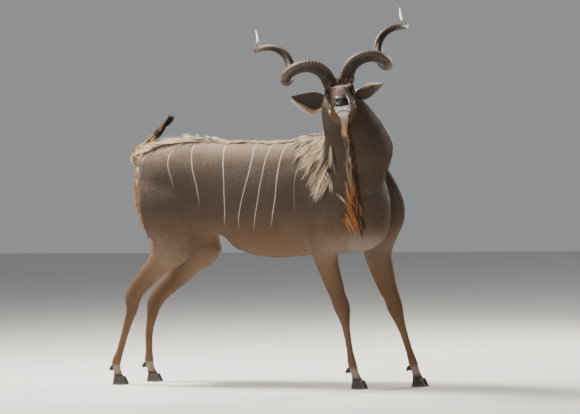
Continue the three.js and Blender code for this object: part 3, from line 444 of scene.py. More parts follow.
def horn_place(t, side):
    """Centre line of a horn at places from 0 to 1, with its run, its way outwards and across"""
    splay, lean = math.radians(HORN_SPLAY), math.radians(HORN_LEAN)
    axis = np.array([-math.sin(lean) * math.cos(splay), math.sin(splay), math.cos(lean) * math.cos(splay)])
    first = np.array([math.cos(lean), 0, math.sin(lean)])
    first = unit(first - axis * first.dot(axis))
    second = np.cross(axis, first)

    def point(u):
        turn = (math.radians(HORN_PHASE) + 2 * math.pi * HORN_TURNS * u)[:, None]
        rise = HORN_TURNS * (HORN_PITCH * u + HORN_PITCH_GAIN * u * u)
        radial = first * np.cos(turn) + second * np.sin(turn)
        return axis * rise[:, None] + radial * along(HORN_COIL, u)[:, None], radial

    t = np.atleast_1d(np.asarray(t, float))
    at, radial = point(t)
    run = unit(point(t + 0.004)[0] - point(t - 0.004)[0])
    at = at - point(np.zeros(1))[0] + np.array(HORN_ROOT)
    across = unit(np.cross(run, radial))
    out = np.cross(across, run)
    mirror = np.array([1, side, 1])
    return at * mirror, run * mirror, out * mirror, across * mirror


def loft_mesh(rings):
    """Vertices and faces of a closed skin over rings"""
    rows, sides = rings.shape[:2]
    k = np.arange(sides)
    faces = []
    for i in range(rows - 1):
        a = i * sides + k
        b = i * sides + (k + 1) % sides
        faces += np.stack([a, b, b + sides, a + sides], -1).tolist()
    faces.append(k[::-1].tolist())
    faces.append(((rows - 1) * sides + k).tolist())
    return rings.reshape(-1, 3), faces


def new_object(name, points, faces, edges=()):
    mesh = bpy.data.meshes.new(name)
    mesh.from_pydata(np.asarray(points).tolist(), list(edges), faces)
    mesh.update()
    obj = bpy.data.objects.new(name, mesh)
    bpy.context.scene.collection.objects.link(obj)
    return obj


def face_outwards(mesh):
    shape = bmesh.new()
    shape.from_mesh(mesh)
    bmesh.ops.recalc_face_normals(shape, faces=shape.faces)
    shape.to_mesh(mesh)
    shape.free()


def applied(obj, name):
    """A plain mesh object of what the modifiers make, in place of the object"""
    graph = bpy.context.evaluated_depsgraph_get()
    mesh = bpy.data.meshes.new_from_object(obj.evaluated_get(graph))
    mesh.name = name
    old = obj.data
    obj.modifiers.clear()
    obj.data = mesh
    obj.name = name
    if old.users == 0:
        bpy.data.meshes.remove(old)
    return obj


def vertices_of(mesh):
    out = np.empty(len(mesh.vertices) * 3)
    mesh.vertices.foreach_get("co", out)
    return out.reshape(-1, 3)


def move_vertices(mesh, places):
    mesh.vertices.foreach_set("co", places.ravel())
    mesh.update()


def normals_of(mesh):
    out = np.empty(len(mesh.vertices) * 3)
    mesh.vertex_normals.foreach_get("vector", out)
    return out.reshape(-1, 3)


def store(mesh, name, values, kind="FLOAT"):
    """Keeps numbers or vectors on a mesh's vertices as a named attribute"""
    layer = mesh.attributes.new(name, kind, "POINT")
    key = {"FLOAT": "value", "FLOAT_VECTOR": "vector"}[kind]
    layer.data.foreach_set(key, np.asarray(values, np.float32).ravel())


def read(mesh, name):
    """A named attribute's numbers or vectors, one for each vertex"""
    layer = mesh.attributes[name]
    key, size = ("vector", 3) if layer.data_type == "FLOAT_VECTOR" else ("value", 1)
    out = np.empty(len(mesh.vertices) * size)
    layer.data.foreach_get(key, out)
    return out.reshape(-1, 3) if size == 3 else out


def finish_piece(obj, slot, *nodes):
    """Gives a piece smooth shading, its body and the solids it replaces; its slot is not used"""
    obj.data.polygons.foreach_set("use_smooth", np.ones(len(obj.data.polygons), bool))
    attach(obj, "root")
    if nodes:
        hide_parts(*nodes)


class Value:
    """An output socket that can stand in an expression: each operation adds its Math node"""

    def __init__(self, tree, socket):
        self.tree = tree
        self.socket = socket

    def math(self, operation, *values):
        return self.tree.node("ShaderNodeMath", {"operation": operation}, values)

    def __add__(self, other):
        return self.math("ADD", self, other)

    def __sub__(self, other):
        return self.math("SUBTRACT", self, other)

    def __rsub__(self, other):
        return self.math("SUBTRACT", other, self)

    def __mul__(self, other):
        return self.math("MULTIPLY", self, other)

    def __truediv__(self, other):
        return self.math("DIVIDE", self, other)

    def __pow__(self, other):
        return self.math("POWER", self, other)

    __radd__ = __add__
    __rmul__ = __mul__

    def size(self):
        return self.math("ABSOLUTE", self)

    def most(self, other):
        return self.math("MAXIMUM", self, other)

    def ramp(self, low, high):
        """0 at low and 1 at high, with soft ends"""
        settings = {"interpolation_type": "SMOOTHSTEP"}
        return self.tree.node("ShaderNodeMapRange", settings, {0: self, 1: low, 2: high, 3: 0.0, 4: 1.0})

    def near(self, place, reach):
        """1 at a place, fading to 0 at a reach to each side"""
        return 1 - (self - place).size().ramp(0.0, reach)


class Tree:
    """A node tree in which one method adds any node"""

    def __init__(self, tree):
        self.tree = tree

    def node(self, kind, settings=None, inputs=(), out=0):
        node = self.tree.nodes.new(kind)
        for name, value in (settings or {}).items():
            setattr(node, name, value)
        pairs = inputs.items() if isinstance(inputs, dict) else enumerate(inputs)
        for key, value in pairs:
            if isinstance(value, Value):
                self.tree.links.new(value.socket, node.inputs[key])
            elif value is not None:
                node.inputs[key].default_value = value
        return Value(self, node.outputs[out]) if node.outputs else node

    def attribute(self, name, out="Fac"):
        return self.node("ShaderNodeAttribute", {"attribute_name": name}, out=out)

    def parts(self, vector):
        split = self.tree.nodes.new("ShaderNodeSeparateXYZ")
        self.tree.links.new(vector.socket, split.inputs[0])
        return [Value(self, socket) for socket in split.outputs]

    def mix(self, factor, a, b):
        return self.node("ShaderNodeMix", {"data_type": "RGBA"}, {0: factor, 6: a, 7: b}, out=2)

    def noise(self, vector, scale, detail=3.0, rough=0.55):
        inputs = {"Vector": vector, "Scale": scale, "Detail": detail, "Roughness": rough}
        return self.node("ShaderNodeTexNoise", None, inputs)

    def vector(self, operation, *values):
        return self.node("ShaderNodeVectorMath", {"operation": operation}, values)

    def scaled(self, vector, share):
        return self.node("ShaderNodeVectorMath", {"operation": "SCALE"}, {0: vector, "Scale": share})

    def joined(self, *numbers):
        return self.node("ShaderNodeCombineXYZ", None, numbers)

    def place(self):
        return self.node("ShaderNodeTexCoord", out="Object")

    def toned(self, value, colour):
        return self.node("ShaderNodeHueSaturation", None, {"Value": value, "Color": colour})

    def named(self, name, kind="FLOAT"):
        return self.node("GeometryNodeInputNamedAttribute", {"data_type": kind}, [name])

    def stored(self, geometry, name, value, settings=None):
        inputs = {"Geometry": geometry, "Name": name, "Value": value}
        return self.node("GeometryNodeStoreNamedAttribute", settings, inputs)

    def random(self, low, high, seed):
        inputs = {2: low, 3: high, "Seed": seed}
        return self.node("FunctionNodeRandomValue", {"data_type": "FLOAT"}, inputs, out=1)


# How much the short coat and the long hair shine
COAT_SHINE, HAIR_SHINE = 0.16, 0.25


def new_material(name):
    material = bpy.data.materials.new(name)
    material.use_nodes = True
    tree = material.node_tree
    tree.nodes.clear()
    return material, Tree(tree)


def shade(tree, colour, roughness, bump=None, bump_depth=0.001, fixed=None):
    """Ends a material in a Principled shader: colour, roughness and bump may vary over the surface"""
    normal = None
    if bump is not None:
        relief = {"Strength": 1.0, "Distance": bump_depth, "Height": bump}
        normal = tree.node("ShaderNodeBump", None, relief)
    inputs = {"Base Color": colour, "Roughness": roughness, "Normal": normal}
    inputs.update(fixed or {})
    surface = tree.node("ShaderNodeBsdfPrincipled", None, inputs)
    tree.node("ShaderNodeOutputMaterial", None, [surface])


def coat_colour(tree, settings):
    """Colour of the short coat at the root of each tuft, the same on the skin under it"""
    root = tree.attribute("root", "Vector")
    x, _, z = tree.parts(root)
    face = tree.attribute("face", "Vector")
    head, neck, leg, tail = (tree.attribute(part + "_part") for part in ("head", "neck", "leg", "tail"))
    cloud = tree.noise(root, 7.0)
    grain = tree.noise(tree.vector("MULTIPLY", root, (60.0, 60.0, 22.0)), 6.0, 4.0, 0.7)

    colour = tree.mix((1.12 - z).ramp(0.08, 0.42) * 0.9, settings.coat, settings.belly)
    # Paler along the top of the back and rump: painted sunlight on the top of the body
    colour = tree.mix((z - 1.22).ramp(0.0, 0.17) * 0.75 * (1 - neck), colour, settings.back)
    colour = tree.mix(neck * 0.8, colour, settings.neck)
    colour = tree.mix(leg, colour, settings.leg)
    colour = tree.mix(tail * 0.7, colour, settings.belly)
    inner = (x + 0.05).size().ramp(0.2, 0.8) * 0.3 * (1.0 - z).ramp(0.1, 0.3) * (1 - leg)
    colour = tree.mix(inner, colour, settings.white)
    stripes = stripe_mask(*tree.parts(tree.place()), cloud)
    stripes = stripes * (1 - neck.ramp(0.2, 0.6)) * (1 - leg.ramp(0.1, 0.4)) * (1 - head)
    colour = tree.mix(stripes, colour, settings.stripe)
    rear = (-0.68 - x).ramp(0.0, 0.07) * (z - 0.75).ramp(0.0, 0.1) * 0.1
    colour = tree.mix(rear, colour, settings.cream)
    colour, nose = face_colour(tree, settings, colour, head, tree.parts(face))
    ankles = (1 - (z - 0.085).size().ramp(0.015, 0.04)) * leg * 0.2
    colour = tree.mix(ankles, colour, settings.white)
    knees = (1 - (z - 0.46).size().ramp(0.05, 0.16)) * leg * 0.3
    colour = tree.mix(knees, colour, settings.umber)
    toes = (1 - z.ramp(0.045, 0.075)) * 0.75
    colour = tree.mix(toes, colour, settings.dark)
    shaded = tree.toned(0.72 + cloud * 0.46 + (grain - 0.5) * 0.34, colour)
    return shaded, root, nose, grain


def stripe_mask(x, y, z, cloud):
    """1 on the thin white lines down each flank, a little apart on the far side"""
    mid = (x - SHIFT[0] + 0.2).most(0.0) ** 2.0 * -0.131 + SHIFT[1]
    far = (y - mid).ramp(-0.01, 0.01)
    rise = z - 1.1
    mask = None
    for place, slope, bend, twist, low, high, strength, offset in STRIPES:
        line = x - SHIFT[0] - place - rise * (slope + rise * (bend + rise * twist))
        line = line + (cloud - 0.5) * 0.016 - far * offset
        ends = (z - low).ramp(-0.01, 0.09) * (high - z).ramp(-0.03, 0.01)
        stripe = (1 - line.size().ramp(0.0014, 0.0042)) * ends * strength
        mask = stripe if mask is None else mask.most(stripe)
    return mask


def face_colour(tree, settings, colour, head, place):
    """Dark brown face with its white chevron, spots, lips and chin, and the black nose, with painted shade
    round the eyes, along the mouth and under the upper lip, and a faint painted highlight along the top of
    the nose bridge
    """
    fx, fy, fz = place
    side = fy.size()
    cheek = (-1.0 * fz).ramp(30.0, 110.0) * (1 - fx.ramp(40.0, 150.0)) * 0.7
    brown = tree.mix(cheek, settings.face, settings.leg)
    colour = tree.mix(head, colour, brown)
    # Darker round each eye: painted shade in the eye socket
    eye = ((fx + 2.0) ** 2.0 + (side - 66.0) ** 2.0 + fz * fz) ** 0.5
    colour = tree.mix((1 - eye.ramp(24.0, 46.0)) * 0.75 * head, colour, settings.dark)
    slant = fx + side * 0.75
    chevron = 0.45 * slant.near(46.0, 11.0) * (1 - side.ramp(42.0, 54.0)) * (fz + 6.0).ramp(-10.0, 10.0)
    # A faint pale band along the top of the nose bridge: painted highlight
    bridge_highlight = (1 - side.ramp(12.0, 26.0)) * fx.near(66.0, 60.0) * (fz + 24.0).ramp(0.0, 24.0) * 0.1
    ragged = tree.noise(tree.joined(*place), 0.09) * 14.0
    lips = (fx + ragged).ramp(172.0, 196.0) * (-68.0 - fz).ramp(0.0, 9.0)
    chin = (fx + ragged).ramp(130.0, 168.0) * (-110.0 - fz).ramp(0.0, 12.0)
    white = chevron.most(bridge_highlight).most(lips).most(chin)
    for forward, up, radius in CHEEK_SPOTS:
        apart = ((fx - forward) ** 2.0 + (fz - up) ** 2.0) ** 0.5
        white = white.most((1 - apart.ramp(radius * 0.4, radius * 1.0)) * side.ramp(24.0, 38.0))
    colour = tree.mix(white * head, colour, settings.white)
    grey = (1 - (fz + 86.0).size().ramp(6.0, 22.0)) * side.ramp(16.0, 34.0) * fx.ramp(160.0, 180.0)
    colour = tree.mix(grey * 0.45 * head, colour, settings.umber)
    mouth = fz - (fx * MOUTH_DROP + MOUTH_FRONT - 215.0 * MOUTH_DROP) + side * side * MOUTH_ARC
    below = (0.0 - mouth).ramp(0.0, 6.0)
    # A thin black line along the mouth: painted shade in the groove between the lips
    mouth = (1 - mouth.size().ramp(1.2, 3.8)) * fx.ramp(118.0, 140.0) * head
    nose = ((fz + 46.0) / 29.0) ** 2.0 + (side / 45.0) ** 4.0
    nose = fx.ramp(190.0, 202.0) * (1 - nose.ramp(0.8, 1.15)) * head
    philtrum = 0.6 * (1 - side.ramp(0.6, 2.4)) * fx.ramp(214.0, 224.0)
    philtrum = philtrum * (fz - MOUTH_FRONT).ramp(-2.0, 2.0) * head
    # Greyer below the mouth at the front: painted shade under the upper lip
    colour = tree.mix(below * fx.ramp(150.0, 180.0) * 0.3 * head, colour, settings.coat)
    black = nose.most(mouth).most(philtrum)
    return tree.mix(black, colour, settings.dark), nose


def skin_material(settings):
    material, tree = new_material("short_coat_skin")
    colour, root, nose, grain = coat_colour(tree, settings)
    fine = tree.noise(root, 420.0, 4.0, 0.7)
    strands = tree.noise(tree.vector("MULTIPLY", root, (1.0, 1.0, 0.28)), 620.0, 2.0, 0.6)
    pores = tree.node("ShaderNodeTexVoronoi", None, {"Vector": root, "Scale": 620.0})
    bump = tree.node("ShaderNodeMix", None, {0: nose, 2: strands + fine * 0.6 + grain * 0.8, 3: pores})
    wet = {"Specular IOR Level": COAT_SHINE, "Coat Weight": nose * 0.4}
    shade(tree, colour, 0.86 - nose * 0.5, bump, 0.0012, wet)
    return material


def tuft_material(settings):
    material, tree = new_material("short_coat_tufts")
    colour, _, _, _ = coat_colour(tree, settings)
    shaded = tree.toned(0.86 + tree.attribute("tone") * 0.3, colour)
    shade(tree, shaded, 0.78, fixed={"Specular IOR Level": COAT_SHINE})
    return material


def hair_material(name, root_colour, tip_colour, dark_colour, darkness, upper=None):
    """Long hair: from root to tip, with some strands darker, and another tip colour high on the throat"""
    material, tree = new_material(name)
    length = tree.attribute("along")
    tone = tree.attribute("tone")
    if upper:
        _, _, z = tree.parts(tree.place())
        tip_colour = tree.mix(z.ramp(1.04, 1.2), tip_colour, upper)
    colour = tree.mix(length.ramp(0.0, 0.6), root_colour, tip_colour)
    colour = tree.mix((tone - (1 - darkness)).ramp(0.0, 0.12), colour, dark_colour)
    shaded = tree.toned(0.7 + tone * 0.6, colour)
    shade(tree, shaded, 0.55, fixed={"Specular IOR Level": HAIR_SHINE})
    return material


def flesh_lofts(depth):
    """Every form of the body: its rings, and which way its coat lies along them"""
    grow = -depth * 1000
    lofts = {
        "trunk": (trunk_rings(grow, 6), -1.0),
        "neck": (neck_rings(grow, 16), -1.0),
        "head": (head_rings(grow, 6), -1.0),
        "tail": (tail_rings(grow * 0.4, 8), 1.0),
    }
    for name in LEGS:
        lofts[name] = (leg_rings(name, grow * 0.6, 8), 1.0)
    return lofts


def bump_lofts(depth):
    """Rings of the forms that stand out from the skull, and of the stubs under the horns"""
    grow = -depth * 1000
    rings = [ball_rings(*CHIN, grow)]
    for side in SIDES.values():
        rings += [ball_rings([x, side * y, z], reach, grow) for (x, y, z), reach in BUMPS]
        at, run, out, across = horn_place(np.array([0.0]), side)
        stub = []
        for back, share in ((64, 0.9), (30, 1.0), (12, 0.98), (-8, 0.84)):
            circle = sections(at - run * back, out, across, np.full((1, 4), HORN_THICK[0] * share), 2, 32)
            stub.append(circle[0])
        rings.append(from_head(np.array(stub)))
    return rings


def muscle(points, normals):
    """How far the skin stands out or sinks in over muscle, bone and folds, in metres"""
    p = (points - SHIFT) * 1000
    lift = np.zeros(len(p))
    for x, y, z, rx, ry, rz, height in MUSCLES:
        centre, _ = spine_at(x)
        for side in (1, -1) if y else (1,):
            d = ((p[:, 0] - x) / rx) ** 2 + ((p[:, 1] - centre[0, 1] - side * y) / ry) ** 2
            d = d + ((p[:, 2] - z) / rz) ** 2
            lift += height * np.exp(-d)
    lift -= FOLD_DEPTH * fold_of(p)
    lift += 1.6 * ripple(p / 70) * smooth_step(p[:, 2], 500, 800) + ripple(p / 31 + 5)
    ribs = np.sin(p[:, 0] / 21.0) * np.exp(-((p[:, 0] - 90) / 190) ** 2)
    ribs *= np.exp(-((p[:, 2] - 960) / 120) ** 2) * (np.abs(normals[:, 1]) > 0.5)
    return (lift + ribs * 0.9) / 1000


# Muscles and hollows: x, distance from the spine, z, reach along each axis, height
MUSCLES = [
    (-560, 190, 1190, 70, 60, 60, 6),
    (-430, 200, 1010, 90, 60, 120, 6),
    (-300, 200, 960, 60, 60, 80, -7),
    (-640, 170, 980, 60, 60, 110, 6),
    (-340, 170, 1270, 120, 60, 40, -6),
    (-240, 190, 925, 120, 60, 24, 7),
    (440, 200, 1180, 22, 70, 110, 6),
    (400, 210, 1020, 40, 60, 90, -8),
    (560, 200, 1000, 60, 70, 80, 8),
    (510, 190, 1240, 60, 60, 50, 6),
    (480, 200, 880, 50, 60, 60, 6),
    (300, 210, 1230, 80, 60, 40, -5),
    (-170, 0, 770, 70, 22, 26, 12),
]

# Fold of the flank in front of each thigh: its place along the body, height, and the hollow's depth
FOLD_AT, FOLD_TOP, FOLD_DEPTH = -255.0, 903.0, 62.0

# How far the skin lies in under the long hair of the rump's rear edge, in millimetres
RUMP_DEPTH = 34.0


def fold_of(p):
    """1 in the hollow under the fold of the flank, with a steep upper edge"""
    top = FOLD_TOP - ((p[:, 0] - FOLD_AT) / 70) ** 2 * 12
    hollow = np.exp(-((p[:, 0] - FOLD_AT) / 100) ** 2)
    return hollow * smooth_step(top - p[:, 2], 0, 26) * smooth_step(p[:, 2], 740, 810)


def ripple(p):
    """Soft unevenness between -1 and 1, with no pattern that the eye picks out"""
    x, y, z = p.T
    total = np.sin(1.1 * x + 0.7 * z + 2 * np.sin(0.6 * y + 0.4 * z))
    total += np.sin(0.8 * z - 0.9 * y + 1.7 * np.sin(0.7 * x + 1.3))
    total += np.sin(0.6 * x + 1.2 * y - 0.5 * z + 1.5 * np.sin(0.9 * z + 0.3 * x))
    return total / 3


def sculpt_face(points, normals):
    """Moves the skin of the face to its mouth line, nostrils, lids and tear groove, in metres"""
    face = to_face(points)
    x, y, z = face.T
    side = np.abs(y)
    near = smooth_step(x, -60, -20)
    move = np.zeros(len(face))
    mouth = MOUTH_FRONT + MOUTH_DROP * (x - 215) - MOUTH_ARC * side**2
    groove = np.exp(-((z - mouth) / 3.8) ** 2) * smooth_step(x, 118, 140)
    move -= 6.0 * groove
    move += 2.4 * np.exp(-((z - mouth - 10) / 7) ** 2) * smooth_step(x, 150, 190)
    move += 1.8 * np.exp(-((z - mouth + 11) / 8) ** 2) * smooth_step(x, 150, 190)
    for u, v, w, reach, depth in ((236, 25, -44, 9, 13), (226, 32, -36, 7, 6)):
        d = ((x - u) / (reach * 1.5)) ** 2 + ((side - v) / reach) ** 2 + ((z - w) / (reach * 0.9)) ** 2
        move -= depth * np.exp(-d)
    move -= 3.0 * np.exp(-(y / 3.4) ** 2) * smooth_step(x, 214, 232) * (z < -56)
    move -= 4.0 * np.exp(-((x - 40) / 26) ** 2 - ((z + 22) / 9) ** 2) * (side > 30)
    move += 2.5 * np.exp(-((x - 20) / 90) ** 2 - ((z + 56) / 10) ** 2) * (side > 30)
    moved = points + normals * (move * near / 1000)[:, None]
    for sign in SIDES.values():
        centre = eye_centre(sign)
        look, fore, up = eye_axes(sign)
        offset = (moved - centre) * 1000
        reach = np.linalg.norm(offset, axis=1)
        a, b, c = offset @ fore, offset @ up, offset @ look
        opening = (a / 19) ** 2 + (b / 11.5) ** 2
        inside = (c > 0) & (opening < 1) & (reach < 40)
        moved[inside] = centre + offset[inside] / reach[inside, None] * (EYE_RADIUS - 5) / 1000
        rim = (c > 0) & (opening >= 1) & (opening < 2.1) & (reach < 40)
        wanted = (EYE_RADIUS + 1.2) / 1000
        moved[rim] = centre + offset[rim] / reach[rim, None] * wanted
    return moved


def eye_centre(side):
    return to_frame(from_head((EYE_AT[0], side * EYE_AT[1], EYE_AT[2])))


def eye_axes(side):
    """Where an eye looks, its way to the nose and its way up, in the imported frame"""
    look = unit(np.array([EYE_LOOK[0], side * EYE_LOOK[1], EYE_LOOK[2]]) @ HEAD_AXES)
    crown = HEAD_AXES[2]
    up = unit(crown - look * look.dot(crown))
    fore = unit(HEAD_AXES[0] - look * look.dot(HEAD_AXES[0]))
    fore = unit(fore - up * up.dot(fore))
    return look, fore, up


def label_skin(mesh, lofts):
    """Stores where each vertex lies on the body: its part, its coat's lie and its place on the unwrap"""
    points, lies, patches, parts = [], [], [], []
    for index, (name, (rings, way)) in enumerate(lofts.items()):
        rows, sides = rings.shape[:2]
        run = run_of(rings.mean(axis=1)) * way
        u = np.broadcast_to(np.linspace(0, 1, sides, endpoint=False), (rows, sides))
        v = np.broadcast_to(np.linspace(0, 1, rows)[:, None], (rows, sides))
        tile = np.array([index % 3, index // 3]) / 3
        patches.append(np.stack([u * 0.31 + 0.01 + tile[0], v * 0.31 + 0.01 + tile[1]], -1).reshape(-1, 2))
        lies.append(np.repeat(run, sides, axis=0))
        points.append(to_frame(rings.reshape(-1, 3)))
        level = np.linspace(0, 1, rows)
        parts.append(np.stack([np.full(rows * sides, index), np.repeat(level, sides)], -1))
    points, lies = np.concatenate(points), np.concatenate(lies)
    patches, parts = np.concatenate(patches), np.concatenate(parts)
    tree = KDTree(len(points))
    for i, point in enumerate(points):
        tree.insert(point, i)
    tree.balance()
    where = vertices_of(mesh)
    nearest = np.array([tree.find(point)[1] for point in where])
    normals = normals_of(mesh)
    part, level = parts[nearest].T
    trunk, neck, head, tail = (part == i for i in range(4))
    lie = lies[nearest].copy()
    lie[trunk] += np.array([0, 0, -0.45])
    lie[neck] += np.array([0, 0, -0.3])
    lie = spread_over(mesh, lie, 18)
    lie = unit(lie - normals * np.sum(lie * normals, axis=1, keepdims=True))
    soft = {
        "head_part": spread_over(mesh, (head & (level > 0.12)).astype(float)[:, None], 6),
        "neck_part": spread_over(mesh, (neck & (level > 0.1)).astype(float)[:, None], 14),
        "tail_part": spread_over(mesh, tail.astype(float)[:, None], 3),
        "leg_part": spread_over(mesh, ((part > 3) * smooth_step(level, 0.2, 0.45))[:, None], 8),
    }
    for name, values in soft.items():
        store(mesh, name, values)
    store(mesh, "lie", lie, "FLOAT_VECTOR")
    store(mesh, "root", where, "FLOAT_VECTOR")
    store(mesh, "face", to_face(where), "FLOAT_VECTOR")
    flat = np.concatenate([patches[nearest], np.zeros((len(where), 1))], axis=1)
    store(mesh, "patch", flat, "FLOAT_VECTOR")


def spread_over(mesh, values, rounds):
    """Averages values over neighbouring vertices, a few times"""
    edges = np.empty(len(mesh.edges) * 2, int)
    mesh.edges.foreach_get("vertices", edges)
    a, b = edges.reshape(-1, 2).T
    count = np.bincount(np.concatenate([a, b]), minlength=len(values))[:, None] + 1
    values = np.asarray(values, float)
    for _ in range(rounds):
        total = values.copy()
        for k in range(values.shape[1]):
            column = values[:, k]
            total[:, k] += np.bincount(a, column[b], len(values)) + np.bincount(b, column[a], len(values))
        values = total / count
    return values


def build_skin(settings):
    """One skin over every form of the body, with its muscles, folds and face"""
    lofts = flesh_lofts(settings.coat_depth)
    points, faces, start = [], [], 0
    for rings in [rings for rings, _ in lofts.values()] + bump_lofts(settings.coat_depth):
        some, some_faces = loft_mesh(to_frame(rings))
        points.append(some)
        faces += [[i + start for i in face] for face in some_faces]
        start += len(some)
    body = new_object("skin", np.concatenate(points), faces)
    face_outwards(body.data)
    remesh = body.modifiers.new("one surface", "REMESH")
    remesh.mode = "VOXEL"
    remesh.voxel_size = settings.skin_grain
    applied(body, "skin")

    mesh = body.data
    where = vertices_of(mesh)
    face = to_face(where)
    on_face = (face[:, 0] > -60) & (np.abs(face[:, 1]) < 100) & (np.abs(face[:, 2] + 50) < 170)
    where = spread_over(mesh, where, 2)
    blend = smooth_step(where[:, 2], 0.55, 0.8) * (1 - on_face)
    smoother = spread_over(mesh, where, 14)
    where = where + (smoother - where) * blend[:, None]
    move_vertices(mesh, where)

    shape = bmesh.new()
    shape.from_mesh(mesh)
    shape.verts.ensure_lookup_table()
    chosen = [e for e in shape.edges if on_face[e.verts[0].index] and on_face[e.verts[1].index]]
    bmesh.ops.subdivide_edges(shape, edges=chosen, cuts=2, use_grid_fill=True, smooth=0.6)
    bmesh.ops.triangulate(shape, faces=[f for f in shape.faces if len(f.verts) > 4])
    shape.to_mesh(mesh)
    shape.free()
    where = spread_over(mesh, vertices_of(mesh), 1)
    move_vertices(mesh, where)
    normals = normals_of(mesh)
    hollow = fold_of((where - SHIFT) * 1000)[:, None]
    where = where + normals * muscle(where, normals)[:, None]
    where = where + (spread_over(mesh, where, 12) - where) * np.minimum(1, spread_over(mesh, hollow, 6) * 2)
    rear = smooth_step(-(where[:, 0] - SHIFT[0]), 0.64, 0.78) * smooth_step(where[:, 2], 0.72, 0.86)
    off_tail = 1 - smooth_step(where[:, 2], 1.2, 1.27)
    where[:, 0] += rear * off_tail * RUMP_DEPTH / 1000
    where = sculpt_face(where, normals)
    move_vertices(mesh, where)
    label_skin(mesh, lofts)
    mesh.materials.append(skin_material(settings))
    return body


def build_ear(name):
    """A thin cup, rolled shut at its root and open to its tip"""
    root, way, opening, skew = (np.array(v, float) for v in EARS[name])
    way = unit(way)
    opening = unit(opening - way * opening.dot(way))
    across = np.cross(way, opening)
    rows, arc = 56, 30
    t = np.linspace(0, 1, rows)
    half, depth, hollow = (along(numbers, t)[:, None] for numbers in (EAR_HALF, EAR_DEPTH, EAR_HOLLOW))
    half = half - 1.5
    middle = root + way * (EAR_LENGTH * t)[:, None] - opening * (10 * np.sin(math.pi * t))[:, None]
    middle = middle + across * skew * (half - EAR_HALF[0] * (1 - t[:, None]))
    turn = np.linspace(0, math.pi, arc)
    c, s = np.cos(turn)[None], np.sin(turn)[None]
    lip = 0.1 * depth
    fold = 1.2 * np.sin(turn * 6)[None] * np.sin(math.pi * t)[:, None]
    outer = (half * c, lip - depth * s)
    wall = 1.6
    inner = (np.maximum(0.5, half - wall) * c, lip + 0.2 - (depth - wall) * (2 * hollow - 1) * s + fold)
    shells = [middle[:, None] + a[..., None] * across + b[..., None] * opening for a, b in (outer, inner)]
    rings = np.concatenate([shells[0], shells[1][:, ::-1]], axis=1)
    points, faces = loft_mesh(to_frame(from_head(rings)))
    ear = new_object(name, points, faces)
    face_outwards(ear.data)
    inside = np.concatenate([np.zeros(arc), np.ones(arc)])
    edge = np.abs(np.concatenate([c[0], c[0][::-1]]))
    store(ear.data, "inside", np.tile(inside, rows))
    store(ear.data, "edge", np.tile(edge, rows))
    store(ear.data, "along", np.repeat(t, 2 * arc))
    lower = np.concatenate([c[0], c[0][::-1]]) * np.sign(-(across @ HEAD_AXES)[2])
    lit = smooth_step(lower if name == "ear_right" else -lower, -0.1, 0.5)
    store(ear.data, "lit_edge", np.tile(lit, rows))
    return ear


def ear_material(settings):
    material, tree = new_material("ear_skin")
    root = tree.place()
    inside, edge, length = (tree.attribute(name) for name in ("inside", "edge", "along"))
    grain = tree.noise(root, 260.0, 4.0, 0.7)
    streaks = tree.noise(tree.joined(edge * 14.0, length * 1.5, inside), 2.5)
    cup = tree.mix(streaks.ramp(0.4, 0.7), settings.ear_inside, settings.neck)
    lit = tree.attribute("lit_edge")
    inner = tree.mix(edge.ramp(0.45, 0.95) * lit, cup, settings.tan)
    colour = tree.mix(inside.ramp(0.4, 0.6), settings.neck, inner)
    rim = edge.ramp(0.9, 0.99) * length.ramp(0.1, 0.4) * (0.25 + lit * 0.7)
    colour = tree.mix(rim * 0.8, colour, settings.cream)
    shaded = tree.toned(0.75 + grain * 0.5, colour)
    shade(tree, shaded, 0.8, grain, 0.001, {"Specular IOR Level": COAT_SHINE})
    return material


def build_horn(name, side):
    """A ribbed spiral with a keel"""
    rows, sides = 420, 40
    t = np.linspace(-0.008, 1, rows)
    at, _, out, across = horn_place(t, side)
    turn = np.linspace(0, 2 * math.pi, sides, endpoint=False)
    keel = np.maximum(0, np.cos(turn)) ** 4
    groove = np.exp(-((np.abs(np.angle(np.exp(1j * turn))) - 0.95) / 0.28) ** 2)
    thick = along(HORN_THICK, t) * (1 + 0.35 * smooth_step(t, 0.78, 0.9))
    thick = thick[:, None] * (1 + HORN_KEEL * keel - 0.07 * groove)[None]
    length = np.concatenate([[0], np.cumsum(np.linalg.norm(np.diff(at, axis=0), axis=1))])
    wave = np.sin(length / (15 - 5 * t) * 2 * math.pi + 0.9 * np.sin(length / 47))
    fade = np.clip(1 - t / 0.62, 0, 1) ** 0.7
    rib = (wave * fade)[:, None] * (0.35 + 0.65 * np.abs(np.cos(turn / 2))[None])
    thick = thick - 1.4 + rib * (thick > 12)
    swing = turn + math.radians(HORN_KEEL_AT)
    rings = at[:, None] + (thick * np.cos(swing))[..., None] * out[:, None]
    rings = rings + (thick * np.sin(swing))[..., None] * across[:, None]
    points, faces = loft_mesh(to_frame(from_head(rings)))
    horn = new_object(name, points, faces)
    face_outwards(horn.data)
    store(horn.data, "along", np.repeat(t, sides))
    store(horn.data, "keel", np.tile(keel, rows))
    store(horn.data, "rib", (rib * np.ones((1, sides))).ravel())
    return horn


def horn_material(settings):
    material, tree = new_material("ribbed_horn")
    place = tree.place()
    length, keel, rib = (tree.attribute(name) for name in ("along", "keel", "rib"))
    cloud = tree.noise(place, 18.0, 4.0)
    grain = tree.noise(place, 160.0, 5.0, 0.7)
    colour = tree.mix(keel.ramp(0.25, 0.9) * 0.85, settings.horn, settings.horn_keel)
    colour = tree.mix(cloud.ramp(0.5, 0.7) * 0.25, colour, settings.horn_keel)
    # Darker in the grooves between the ribs: painted shade
    colour = tree.mix((0.2 - rib).ramp(0.0, 0.9) * 0.45, colour, settings.dark)
    colour = tree.mix(length.ramp(0.91, 0.965), colour, settings.horn_tip)
    shaded = tree.toned(0.75 + grain * 0.5, colour)
    roughness = 0.5 + grain * 0.2 - length.ramp(0.8, 1.0) * 0.25
    shade(tree, shaded, roughness, grain, 0.0008, {"Specular IOR Level": 0.3})
    return material


